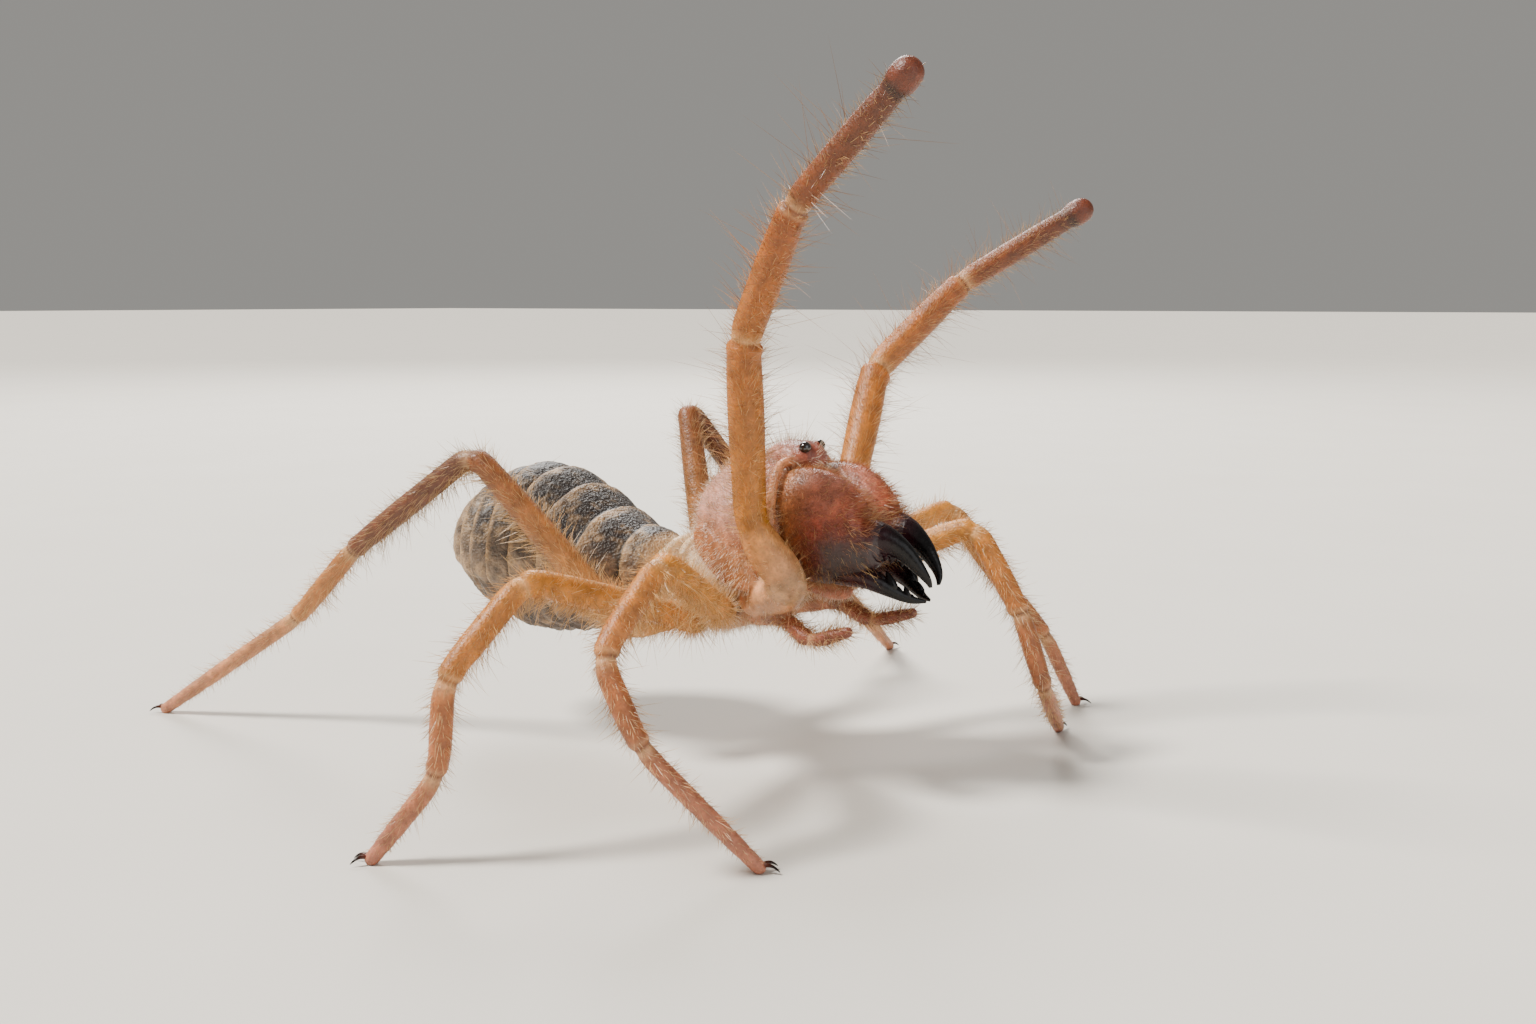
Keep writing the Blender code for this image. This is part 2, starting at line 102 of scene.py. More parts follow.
# Two low plates across the back of the thorax, each with its middle and half size
THORAX_PLATES = (((0.9, 0.0, 20.6), (1.5, 4.6, 2.5)), ((-1.7, 0.0, 19.8), (1.3, 4.2, 2.6)))
EYE_RADIUS = 0.6
EYE_PLACE = (13.3, 1.3, 32.1)
SOCKET_RADIUS = 0.82
CHELICERA_STATIONS = (
    (12.0, 25.3, 2.0, 3.9),
    (13.0, 25.3, 2.6, 5.0),
    (15.4, 25.0, 2.85, 5.4),
    (18.0, 24.3, 2.8, 4.8),
    (20.0, 23.9, 2.45, 3.7),
    (21.2, 23.9, 2.0, 2.6),
    (22.1, 24.1, 1.6, 1.85),
    (22.9, 24.0, 1.25, 1.4),
    (23.9, 23.5, 0.95, 1.08),
    (24.9, 22.65, 0.72, 0.84),
    (25.9, 21.45, 0.5, 0.57),
    (26.4, 20.6, 0.33, 0.38),
    (26.55, 19.9, 0.14, 0.17),
)
JAW_STATIONS = (
    (17.6, 21.0, 1.25, 1.2),
    (18.4, 21.0, 1.4, 1.35),
    (20.0, 20.85, 1.3, 1.25),
    (21.2, 20.45, 1.1, 1.0),
    (22.2, 19.95, 0.88, 0.84),
    (23.1, 19.45, 0.7, 0.66),
    (24.0, 18.95, 0.53, 0.5),
    (24.9, 18.6, 0.38, 0.37),
    (25.9, 18.45, 0.12, 0.14),
)
CHELICERA_BACK_OFFSET = 3.1
CHELICERA_TIP_OFFSET = 0.8
JAW_TIP_OFFSET = 0.42
COLLAR_MIDDLE = (12.55, CHELICERA_BACK_OFFSET, 25.35)
COLLAR_HALF_SIZE = (0.25, 3.1, 5.5)
COLLAR_TURNS = (-60, 200)
COLLAR_RADIUS = 0.5
# Where along X a finger turns from flesh to black, and where its hairs end
CHELICERA_DARKENS = (20.6, 24.8)
CHELICERA_BARES = (20.9, 22.6)
JAW_DARKENS = (19.6, 23.6)
JAW_BARES = (20.0, 21.8)
TOOTH_ROOT = 0.12
# Teeth: place along X, height, radius, all in mm
JAW_TEETH = (
    (21.7, 0.35, 0.4),
    (22.3, 0.5, 0.4),
    (23.1, 1.15, 0.58),
    (23.8, 0.3, 0.28),
    (24.4, 0.65, 0.36),
    (24.85, 0.2, 0.2),
)
FINGER_TEETH = (
    (22.7, 0.3, 0.3),
    (23.3, 0.55, 0.34),
    (23.8, 0.25, 0.24),
    (24.3, 0.45, 0.28),
    (24.9, 0.2, 0.2),
)

LIMBS = {
    "palp": {
        "parts": ("hip", "knuckle", "thigh", "shin", "tip"),
        "base": ((9.0, 3.4, 17.4), (15.6, 6.9, 19.8), (12.0, 8.7, 25.0)),
        "lengths": (17.5, 13.5, 15.0),
        "radii": (1.9, 1.9, 1.5, 1.5, 1.25, 1.0),
    },
    "leg1": {
        "parts": ("hip", "shin", "tip"),
        "base": ((8.6, 2.8, 15.6), (13.4, 5.0, 16.4)),
        "lengths": (4.2, 4.6),
        "radii": (0.95, 0.75, 0.65, 0.5),
    },
    "leg2": {
        "parts": ("hip", "thigh", "knee", "shin", "foot"),
        "base": ((4.6, 2.8, 15.4), (8.6, 8.4, 17.0)),
        "lengths": (17.5, 10.0, 8.0, 14.0),
        "radii": (1.3, 1.2, 1.1, 0.95, 0.8, 0.6),
    },
    "leg3": {
        "parts": ("hip", "thigh", "knee", "shin", "foot"),
        "base": ((1.2, 3.0, 14.8), (5.0, 7.6, 15.6)),
        "lengths": (23.5, 10.5, 8.0, 9.0),
        "radii": (1.5, 1.3, 1.1, 0.95, 0.8, 0.62),
    },
    "leg4": {
        "parts": ("hip", "thigh", "knee", "shin", "foot"),
        "base": ((-1.6, 3.2, 14.6), (-4.0, 7.8, 14.0)),
        "lengths": (23.0, 19.0, 11.5, 20.5),
        "radii": (1.6, 1.45, 1.1, 1.0, 0.85, 0.62),
    },
}
# For each part beyond the hip: degrees outwards from straight ahead, and degrees upwards.
# A foot's second angle is worked out from the floor.
POSE = {
    ("palp", "right"): ((77, 84), (19, 58), (6, 41)),
    ("palp", "left"): ((104, 51), (50, 43), (35, 31)),
    ("leg1", "right"): ((22, -25), (5, 20)),
    ("leg1", "left"): ((-6, -25), (8, 16)),
    ("leg2", "right"): ((74, 25), (95, -42), (0, -60), (-40, None)),
    ("leg2", "left"): ((22, 22), (0, -58), (0, -70), (105, None)),
    ("leg3", "right"): ((94, 18), (112, -45), (110, -85), (145, None)),
    ("leg3", "left"): ((65, 19), (35, -55), (35, -50), (50, None)),
    ("leg4", "right"): ((163, 47), (171, -35), (172, -45), (161, None)),
    ("leg4", "left"): ((140, 62), (64, -52), (63, -41), (96, None)),
}
BEND_REACH = 2.3
SOFT_BEND_REACH = 3.8
# The joints next to the body that show no ring, and bend softly
SOFT_JOINTS = {"palp": 2, "leg1": 1, "leg2": 1, "leg3": 1, "leg4": 1}
BEND_SHARE = 0.42
SWELL = 0.12
PALP_TIP_SWELL = 0.36
LIMB_STEP = 0.34
LIMB_SIDES = 20
CLAW_LENGTH = 1.7
CLAW_SPREAD = 24.0
CLAW_HEIGHT = 0.5
CLAW_RADIUS = 0.2

# The kinds of form that melt into the trunk, hips last, and how finely they melt
TRUNK = ("thorax", "shield", "mound", "cheek", "collar", "lip", "socket", "plate", "hip")
TRUNK_VOXEL = 0.2
TINT_EASING = 14

# Colours along each limb, from the hip outwards, one for the start and end of each part
LIMB_COLOURS = {
    "palp": ("D2A680", "C8955A", "C28C3C", "B87C32", "BC8236", "A86A2C", "9C622C", "784622"),
    "leg1": ("BE9070", "AE7A5E", "A06A54", "92604E"),
    "leg2": ("CFA060", "CC9644", "C48C3C", "B88048", "B0784A", "B27A52", "B8805E", "C08A72"),
    "leg3": ("CFA060", "CC9644", "C48C3C", "BE8640", "B87E4C", "B67E54", "B8825E", "C08A72"),
    # The fourth legs' thigh end and knee are darker than the other legs': painted shade, not their own
    # colour
    "leg4": ("C89A60", "946236", "7A4C2E", "8A5A38", "BA8448", "C49058", "C6966A", "C69478"),
}
JOINT_COLOUR = "EBCDA6"
# Above 1, tints are deeper than their flat colour, as a skin that light enters looks in the sun
DEPTH_OF_COLOUR = 1.4
CUTICLE_IOR = 1.54
# How deep light gets into the skin, in mm
GLOW_DEPTH = 0.8

# Height and radius at each ring of a bristle of unit length
BRISTLES = {
    "short": ((0.0, 1.0), (0.5, 0.8)),
    "long": ((0.0, 1.0), (0.25, 0.9), (0.5, 0.75), (0.75, 0.5)),
}
# The patch of the skin's flat map that a bristle takes round its root
BRISTLE_PATCH = (0.0006, 0.003)
# The sizes of a coat and their units. Number is against the skin's own count per square mm.
BRISTLE_SIZES = {"Number": 1e6, "Shortest": MM, "Longest": MM, "Thickness": MM, "Lean": 1, "Scatter": 1}
COATS = (
    # name, where, bristle, hair, and the sizes in the order above
    ("coat_abdomen", "abdomen", "short", "gold", (0.8, 0.4, 1.3, 0.02, 0.8, 0.45)),
    ("setae_abdomen", "abdomen", "long", "gold", (0.09, 1.2, 2.6, 0.021, 0.7, 0.5)),
    ("coat_trunk", "trunk", "short", "pale", (1.3, 0.4, 1.1, 0.018, 0.5, 0.45)),
    ("setae_trunk", "trunk", "long", "gold", (0.09, 1.4, 2.8, 0.02, 0.3, 0.45)),
    ("coat_legs", "leg", "short", "gold", (2.0, 0.5, 1.5, 0.022, 0.8, 0.45)),
    ("setae_legs", "leg", "long", "gold", (0.32, 1.3, 2.8, 0.026, 0.5, 0.5)),
    ("coat_palps", "palp", "short", "gold", (1.8, 0.5, 1.5, 0.02, 0.7, 0.45)),
    ("setae_palps", "palp", "long", "brown", (0.5, 1.6, 4.0, 0.022, 0.3, 0.35)),
    ("hairs_palps", "palp", "long", "brown", (0.04, 4.5, 7.5, 0.022, 0.3, 0.3)),
    ("coat_chelicerae", "chelicera", "short", "rust", (1.0, 0.4, 1.2, 0.018, 0.8, 0.5)),
    ("setae_chelicerae", "chelicera", "long", "gold", (0.12, 1.0, 2.0, 0.022, 0.7, 0.5)),
    ("coat_jaws", "jaw", "short", "rust", (1.0, 0.6, 1.6, 0.018, 0.6, 0.5)),
)

# The camera, in the same frame as the shapes
CAMERA_PLACE = (87.278, -121.685, 46.0)
CAMERA_AZIMUTH = 33.0
CAMERA_PITCH = math.degrees(math.atan(212 / 1493))
# How far the key light's rays spread, in degrees
KEY_SPREAD = 14.0
# A soft far key from the animal's right and above, a weak fill, and a lamp behind for the hairs
LAMPS = (
    # name, azimuth, elevation, distance and size in m, power, colour
    ("key", -48.0, 52.0, 0.7, None, 6.5, (1.0, 0.96, 0.9)),
    ("fill", 70.0, 22.0, 0.8, 0.6, 1.8, (0.95, 0.97, 1.0)),
    ("back", 220.0, 40.0, 0.8, 0.3, 6.0, (1.0, 0.98, 0.95)),
)
SURROUND_STRENGTH = 0.38
FLOOR_HALF_WIDTH = 6.0
FLOOR_DROP = 0.02 * MM

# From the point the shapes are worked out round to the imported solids, by way of an eye
low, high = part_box("eye_right")
SHIFT = (Vector(low) + Vector(high)) / 2 - Vector((EYE_PLACE[0], -EYE_PLACE[1], EYE_PLACE[2])) * MM


def linear(hex_colour):
    """The linear value of an sRGB colour."""
    channels = [int(hex_colour[i : i + 2], 16) / 255 for i in (0, 2, 4)]
    return np.array([c / 12.92 if c <= 0.04045 else ((c + 0.055) / 1.055) ** 2.4 for c in channels])


def give(tree, node, inputs):
    """Set a node's inputs, each to a value or to another node's output."""
    for key, value in dict(inputs).items():
        if isinstance(value, bpy.types.NodeSocket):
            tree.links.new(value, node.inputs[key])
        else:
            node.inputs[key].default_value = value


def add(tree, kind, inputs=(), out=0, **settings):
    """Add a node with its inputs and settings, and hand back one of its outputs."""
    made = tree.nodes.new(kind)
    for name, value in settings.items():
        setattr(made, name, value)
    give(tree, made, inputs)
    return made.outputs[out]


def linked(name, data):
    """A new object in the scene."""
    made = bpy.data.objects.new(name, data)
    bpy.context.scene.collection.objects.link(made)
    return made


def settled_mesh(helper):
    """The mesh that a helper object's modifiers make of it. The helper goes."""
    graph = bpy.context.evaluated_depsgraph_get()
    mesh = bpy.data.meshes.new_from_object(helper.evaluated_get(graph))
    bpy.data.objects.remove(helper, do_unlink=True)
    return mesh


def smooth_step(values, start, end):
    """From 0 at the start to 1 at the end, eased at both."""
    share = np.clip((values - start) / (end - start), 0, 1)
    return share * share * (3 - 2 * share)


def bump(values, place, reach):
    """1 at a place, falling to nothing over a few times the reach."""
    return np.exp(-(((values - place) / reach) ** 2))


def mix(first, second, share):
    """A blend of two sRGB colours or rows of linear ones, by a share for each row."""
    first, second = (linear(tint) if isinstance(tint, str) else tint for tint in (first, second))
    share = np.asarray(share, float)[..., None]
    return first * (1 - share) + second * share


def mirrored(place, side):
    """A place of the left side, on either side."""
    return np.array(place) * (1, side, 1)


def speckle(points, size, seed=0.0):
    """Soft noise from about -1 to 1 at each point, with blotches of a size in mm."""
    return np.array([noise.noise(Vector(p) / size + Vector((seed, seed, seed))) for p in points]) * 1.6


class Form:
    """A closed surface in mm with, for each point, the values its skin and bristles need."""

    def __init__(self, points, faces):
        self.points = np.asarray(points, float)
        self.faces = faces
        count = len(self.points)
        self.tint = np.full((count, 3), 0.5)
        self.lie = np.zeros((count, 3))
        self.coat = np.zeros(count)
        self.reach = np.ones(count)
        self.form = np.zeros(count, int)
        self.finish = np.zeros(count, int)


def joined(forms):
    """One form from several, each keeping its own surface."""
    start = 0
    faces = []
    for form in forms:
        faces += [tuple(i + start for i in face) for face in form.faces]
        start += len(form.points)
    whole = Form(np.concatenate([form.points for form in forms]), faces)
    for name in ("tint", "lie", "coat", "reach", "form", "finish"):
        setattr(whole, name, np.concatenate([getattr(form, name) for form in forms]))
    return whole


def tube(rings):
    """A closed surface through rings of points, with a point in the middle of each end."""
    rings = np.asarray(rings)
    rows, sides = rings.shape[:2]
    points = np.concatenate([rings.reshape(-1, 3), [rings[0].mean(axis=0), rings[-1].mean(axis=0)]])
    faces = []
    for row in range(rows - 1):
        for i in range(sides):
            j = (i + 1) % sides
            faces.append((row * sides + i, row * sides + j, (row + 1) * sides + j, (row + 1) * sides + i))
    first, last, end = rows * sides, rows * sides + 1, (rows - 1) * sides
    for i in range(sides):
        j = (i + 1) % sides
        faces.append((first, j, i))
        faces.append((last, end + i, end + j))
    return points, faces


def ellipsoid(middle, half_size, sides=64, rows=40, tilt=0.0):
    """An ellipsoid with its poles along X, tilted nose down by some degrees."""
    turn = math.radians(tilt)
    rings = []
    for latitude in np.linspace(0.02, math.pi - 0.02, rows):
        around = np.arange(sides) / sides * 2 * math.pi
        local = np.stack(
            [
                np.full(sides, math.cos(latitude)) * half_size[0],
                np.cos(around) * math.sin(latitude) * half_size[1],
                -np.sin(around) * math.sin(latitude) * half_size[2],
            ],
            axis=1,
        )
        x = local[:, 0] * math.cos(turn) + local[:, 2] * math.sin(turn)
        z = -local[:, 0] * math.sin(turn) + local[:, 2] * math.cos(turn)
        rings.append(np.stack([x, local[:, 1], z], axis=1) + np.array(middle))
    return tube(rings)


def smooth_stations(stations, count):
    """Stations read off a smooth curve through the given ones, evenly along it."""
    table = np.array(stations, float)
    table = np.concatenate([[2 * table[0] - table[1]], table, [2 * table[-1] - table[-2]]])
    rows = []
    for place in np.linspace(0, len(stations) - 1.0001, count):
        i, t = int(place), place % 1.0
        a, b, c, d = table[i : i + 4]
        square, cube = 2 * a - 5 * b + 4 * c - d, 3 * b - a - 3 * c + d
        rows.append(0.5 * (2 * b + (c - a) * t + square * t**2 + cube * t**3))
    return np.array(rows)


def station_loft(stations, count, sides, offset=None):
    """A loft along X through smoothed stations, each ring facing along the middle line."""
    rows = smooth_stations(stations, count)
    middles = np.stack([rows[:, 0], np.zeros(count), rows[:, 1]], axis=1)
    if offset:
        middles[:, 1] = [offset(share) for share in np.linspace(0, 1, count)]
    rings = []
    around = (np.arange(sides) + 0.5) / sides * 2 * math.pi
    for i, (_, _, half_width, half_height) in enumerate(rows):
        along = middles[min(i + 1, count - 1)] - middles[max(i - 1, 0)]
        along[1] = 0.0
        along /= np.linalg.norm(along)
        upward = np.array([-along[2], 0.0, along[0]])
        rings.append(
            middles[i]
            + np.outer(np.cos(around) * half_width, (0.0, 1.0, 0.0))
            + np.outer(np.sin(around) * half_height, upward)
        )
    return rings


def heading(outward, upward, side):
    """A direction by its degrees outwards from straight ahead and its degrees upwards."""
    out, up = math.radians(outward), math.radians(upward)
    return Vector((math.cos(up) * math.cos(out), side * math.cos(up) * math.sin(out), math.sin(up)))


def limb_joints(kind, side_name):
    """The joints of a limb, from the coxa's root in the thorax to its tip."""
    side, limb = SIDES[side_name], LIMBS[kind]
    joints = [Vector((x, side * y, z)) for x, y, z in limb["base"]]
    for length, (outward, upward) in zip(limb["lengths"], POSE[kind, side_name]):
        if upward is None:
            upward = math.degrees(math.asin((FLOOR_REACH - joints[-1].z) / length))
        joints.append(joints[-1] + heading(outward, upward, side) * length)
    return joints


def corner(before, joint, after, widest):
    """Where a rounded corner starts and where it ends."""
    into, out = (joint - before), (after - joint)
    reach = min(widest, into.length * BEND_SHARE, out.length * BEND_SHARE)
    return joint - into.normalized() * reach, joint + out.normalized() * reach


def bend(start, joint, end, shares):
    """Places on the rounded corner between a start and an end."""
    return [start * (1 - t) ** 2 + joint * 2 * t * (1 - t) + end * t**2 for t in shares]


def limb_path(joints, soft_joints):
    """Places along a limb: where, which part, share of the part, mm since and until a joint."""
    count = len(joints) - 1
    widest = [SOFT_BEND_REACH if joint <= soft_joints else BEND_REACH for joint in range(count)]
    rows = []
    for number in range(count):
        start, end = joints[number], joints[number + 1]
        stops = [start]
        if number:
            first, last = corner(joints[number - 1], start, end, widest[number])
            stops = bend(first, start, last, np.linspace(0.5, 1.0, 9))
        if number < count - 1:
            first, last = corner(start, end, joints[number + 2], widest[number + 1])
            stops += bend(first, end, last, np.linspace(0.0, 0.5, 9))
        else:
            stops.append(end)
        stops = np.array([tuple(stop) for stop in stops])
        travelled = np.concatenate([[0], np.cumsum(np.linalg.norm(np.diff(stops, axis=0), axis=1))])
        steps = np.linspace(0, travelled[-1], max(4, int(travelled[-1] / LIMB_STEP)))
        if number:
            steps = steps[1:]
        places = np.stack([np.interp(steps, travelled, stops[:, axis]) for axis in range(3)], axis=1)
        way = steps / travelled[-1]
        since = steps if number else np.full(len(steps), 9.0)
        until = travelled[-1] - steps if number < count - 1 else np.full(len(steps), 9.0)
        rows.append(np.column_stack([places, np.full(len(steps), number), way, since, until]))
    return np.concatenate(rows)


def carried_axes(places):
    """Directions along a path, and two square axes carried along it without twist."""
    along = np.gradient(places, axis=0)
    along /= np.linalg.norm(along, axis=1)[:, None]
    across = np.cross(along[0], (0.13, 0.31, 0.94))
    firsts, seconds = [], []
    for direction in along:
        across = across - direction * across.dot(direction)
        across /= np.linalg.norm(across)
        firsts.append(across)
        seconds.append(np.cross(direction, across))
    return along, np.array(firsts), np.array(seconds)


def limb_radius(kind, path):
    """The radius at each place along a limb: tapering, swelling mid part and waisted at joints."""
    radii = LIMBS[kind]["radii"]
    count = len(radii) - 1
    number, way, since, until = path[:, 3].astype(int), path[:, 4], path[:, 5], path[:, 6]
    radius = np.take(radii, number) * (1 - way) + np.take(radii, number + 1) * way
    radius = radius * (1 + SWELL * np.sin(math.pi * way**1.5))
    # Each part ends in a slightly flared cup, and the next one starts narrower inside it
    plain = SOFT_JOINTS[kind]
    cup = 0.1 * bump(until, 0.55, 0.5) - 0.16 * bump(until, 0, 0.16)
    neck = -0.13 * bump(since, 0, 0.8)
    cup, neck = np.where(number < plain, 0.1, 1.0) * cup, np.where(number <= plain, 0.1, 1.0) * neck
    radius = radius * (1 + cup + neck)
    if kind == "palp":
        last = number == count - 1
        radius = np.where(last, radius * (1 + PALP_TIP_SWELL * smooth_step(way, 0.86, 0.97)), radius)
    elif kind != "leg1":
        # The foot's own short joints
        foot = number == count - 1
        for place in (0.5, 0.72, 0.88):
            radius = np.where(foot, radius * (1 - 0.07 * bump(way, place, 0.02)), radius)
    return radius


def limb_form(kind, side_name, first_part, last_part, form_start):
    """A limb's skin from one part to another, with its colours and the lie of its bristles."""
    limb = LIMBS[kind]
    joints = limb_joints(kind, side_name)
    path = limb_path(joints, SOFT_JOINTS[kind])
    radius = limb_radius(kind, path)
    along, first, second = carried_axes(path[:, :3])
    number = path[:, 3].astype(int)
    inside = np.flatnonzero((number >= first_part) & (number <= last_part))
    # The skin runs on a little into its neighbour, so that nothing opens at a joint
    inside = np.arange(max(inside[0] - 3, 0), min(inside[-1] + 4, len(path)))
    around = np.arange(LIMB_SIDES) / LIMB_SIDES * 2 * math.pi
    rings, rows = [], []
    for i in inside:
        ring = path[i, :3] + radius[i] * (
            np.outer(np.cos(around), first[i]) + np.outer(np.sin(around), second[i])
        )
        rings.append(ring)
        rows.append(i)
    if last_part == len(limb["parts"]) - 1:
        end = inside[-1]
        for forward in (0.3, 0.55, 0.75, 0.9, 0.98):
            size = math.sqrt(1 - forward**2)
            ring = path[end, :3] + along[end] * radius[end] * forward
            rings.append(ring + (rings[len(inside) - 1] - path[end, :3]) * size)
            rows.append(end)
    points, faces = tube(rings)
    form = Form(points, faces)
    row = np.append(np.repeat(rows, LIMB_SIDES), (rows[0], rows[-1]))
    middle = path[row, :3]
    outward = points - middle
    outward /= np.maximum(np.linalg.norm(outward, axis=1), 1e-6)[:, None]
    form.lie = along[row]
    form.form = form_start + number[row]
    dress_limb(form, kind, path[row, 3:], outward[:, 2])
    form.points[:, 2] = np.maximum(form.points[:, 2], 0.0)
    return form


def dress_limb(form, kind, rows, upness):
    """Colour, and bristles per square mm and their length, along a limb."""
    number, way, since, until = rows[:, 0].astype(int), rows[:, 1], rows[:, 2], rows[:, 3]
    colours = np.array([linear(c) for c in LIMB_COLOURS[kind]])
    start = np.clip(2 * number - 2, 0, len(colours) - 1)
    end = np.clip(2 * number - 1, 0, len(colours) - 1)
    if kind == "leg1":
        start, end = number, number + 1
    tint = mix(colours[start], colours[end], way)
    # Pale skin shows where a part leaves the cup before it, under a thin dark rim
    root = number <= SOFT_JOINTS[kind]
    pale = bump(since, 0, 0.9) + 0.5 * bump(until, 0.3, 0.25)
    tint = mix(tint, JOINT_COLOUR, np.clip(pale, 0, 1) * np.where(root, 0.0, 0.6))
    rim = bump(until, 0, 0.14) + bump(since, 0, 0.14)
    tint = mix(tint, "7A4A2A", np.clip(rim, 0, 1) * np.where(root, 0.0, 0.5))
    blotch = speckle(form.points, 1.7) + 0.6 * speckle(form.points, 0.6, 2.0)
    tint = tint * (1 + 0.15 * blotch)[:, None]
    # Painted light and shade: each limb is a little lighter on top and darker underneath
    tint = tint * (1 + 0.1 * upness)[:, None]
    last = number == len(LIMBS[kind]["parts"]) - 1
    if kind == "palp":
        dark = last * smooth_step(way, 0.45, 1.0)
        tint = mix(tint, "74452A", 0.5 * dark)
        bulb = last * smooth_step(way, 0.91, 0.95)
        tint = mix(tint, "82461F", 0.85 * bulb)
        band = last * bump(way, 0.9, 0.03) * smooth_step(-upness, -0.7, 0.5)
        tint = mix(tint, "2E1E19", 0.75 * band)
        form.coat = np.where(number <= 1, 1.1, 2.6) * (1 - 0.95 * bulb)
        form.reach = np.where(number <= 1, 0.55, 1.1) * (1 - 0.5 * last * smooth_step(way, 0.55, 0.95))
    elif kind == "leg1":
        form.coat[:] = 9.0
        form.reach = 0.8 + 0.4 * smooth_step(number + way, 1.5, 3.0)
    else:
        under = smooth_step(-upness, 0.1, 0.9)
        form.coat = np.where(last, 3.2, 2.8 + 2.4 * under)
        form.reach = np.where(last, 0.75, 0.95 + 0.5 * under * (number <= 2))
    form.tint = np.clip(tint, 0, 1)
    # Nothing grows long enough to reach the floor
    height = form.points[:, 2]
    form.coat = form.coat * smooth_step(height, 0.4, 1.4)
    form.reach = form.reach * np.clip(height / 3.2, 0.2, 1)


def abdomen_form(form_number):
    """The ringed abdomen: each segment a soft cushion whose rear rim stands over the next."""
    around = np.arange(ABDOMEN_SIDES) / ABDOMEN_SIDES * 2 * math.pi
    table = smooth_stations(ABDOMEN_STATIONS, 240)
    up = np.sin(around)
    # Plates cover the back and most of each side; below them the skin lies in small pleats
    plate = smooth_step(up, -0.5, -0.2)
    seam = bump(up, -0.34, 0.07)
    count = len(ABDOMEN_RIMS) - 1
    rings, rims, painted_fold_shades, plates, backs = [], [], [], [], []
    for place in np.linspace(0.004, count, ABDOMEN_RINGS):
        x = np.interp(place, range(count + 1), ABDOMEN_RIMS)
        half_width, rise, drop = (np.interp(-x, -table[:, 0], table[:, i]) for i in (1, 2, 3))
        # No two rims run quite alike
        wander = 0.05 * np.sin(3 * around + 1.7 * int(place)) + 0.04 * np.sin(7 * around + 2.9 * int(place))
        within = np.clip(place % 1.0 + wander * math.sin(math.pi * (place % 1.0)), 0, 1)
        lift = np.where(
            within < FOLD_CREST,
            1 - (1 - within / FOLD_CREST) ** 2.0,
            1 - smooth_step(within, FOLD_CREST, 1.0),
        )
        pleat = 0.5 + 0.5 * np.sin(within * 6 * math.pi + 2.0 * np.sin(around * 9))
        depth = 0.12 * plate * lift + (1 - plate) * (0.04 * lift + 0.025 * pleat)
        shoulder = 0.72 + 0.28 * math.sqrt(min(place / 0.3, 1.0))
        size = (0.94 + depth - 0.024 * seam) * shoulder
        y = np.cos(around) * size * half_width
        z = up * size * np.where(up > 0, rise, drop) + ABDOMEN_MIDDLE_HEIGHT
        rings.append(np.stack([np.full(ABDOMEN_SIDES, x) - 0.3 * plate * lift, y, z], axis=1))
        rims.append(bump(within, 0.8, 0.17))
        # Painted shade: how near each point lies to the fold between two segments
        painted_fold_shades.append(bump(np.minimum(within, 1 - within), 0, 0.06))
        plates.append(plate)
        backs.append(np.full(ABDOMEN_SIDES, place / count))
    points, faces = tube(rings)
    form = Form(points, faces)
    rim, painted_fold_shade, plate, back = (np.append(np.ravel(v), (0, 0)) for v in (rims, painted_fold_shades, plates, backs))
    outward = form.points - np.array((0.0, 0.0, ABDOMEN_MIDDLE_HEIGHT))
    outward[:, 0] = 0
    outward /= np.maximum(np.linalg.norm(outward, axis=1), 1e-6)[:, None]
    form.points += outward * (0.06 * speckle(form.points, 0.55, 3.0))[:, None]
    top = outward[:, 2]
    blotch = speckle(form.points, 1.5, 7.0) + 0.8 * speckle(form.points, 0.6, 9.0)
    flank = mix("6E5C4E", "A08E7C", smooth_step(top, -0.9, 0.1))
    tint = mix(flank, "43372F", plate * smooth_step(top, -0.2, 0.5))
    tint = mix(tint, "B49C80", 0.85 * smooth_step(back, 0.5, 0.9))
    saddle = bump(outward[:, 1] + 0.12 * blotch, 0, 0.42) * (top > 0)
    saddle = saddle * (1 - rim) * smooth_step(blotch, -1.2, 0.2)
    tint = mix(tint, "2C221C", 0.85 * saddle)
    tint = mix(tint, "CBB08C", np.clip(0.55 * blotch, 0, 0.65) * (1 - 0.5 * saddle))
    tint = mix(tint, "3E3028", np.clip(-0.4 * blotch, 0, 0.6))
    soft = np.clip(rim * (0.85 + 0.35 * blotch), 0, 1)
    tint = mix(tint, "BFA27C", 0.85 * soft * plate)
    # Painted shade darkens the narrow fold between segments
    tint = mix(tint, "241A15", 0.8 * painted_fold_shade)
    tint = mix(tint, "CDB496", 1 - smooth_step(back * count, 0.1, 0.4))
    form.tint = np.clip(tint, 0, 1)
    form.lie = np.tile((-1.0, 0.0, 0.0), (len(form.points), 1))
    form.coat = 12.0 + 12.0 * rim
    form.reach = 0.9 + 0.25 * back
    form.form[:] = form_number
    form.finish[:] = 1
    return form


def rope(places, radius, sides=14):
    """A round cord of flesh along some places."""
    places = np.array(places)
    _, first, second = carried_axes(places)
    around = np.arange(sides) / sides * 2 * math.pi
    rings = [
        place + radius * (np.outer(np.cos(around), a) + np.outer(np.sin(around), b))
        for place, a, b in zip(places, first, second)
    ]
    return tube(rings)


def collar(side):
    """The raised band of the shield's front edge, which bends round the back of a chelicera."""
    start, end = (math.radians(turn) for turn in COLLAR_TURNS)
    middle = mirrored(COLLAR_MIDDLE, side)
    bow, width, height = COLLAR_HALF_SIZE
    places = [
        middle + (-bow * math.sin(turn), side * width * math.cos(turn), height * math.sin(turn))
        for turn in np.linspace(start, end, 60)
    ]
    return rope(places, COLLAR_RADIUS)


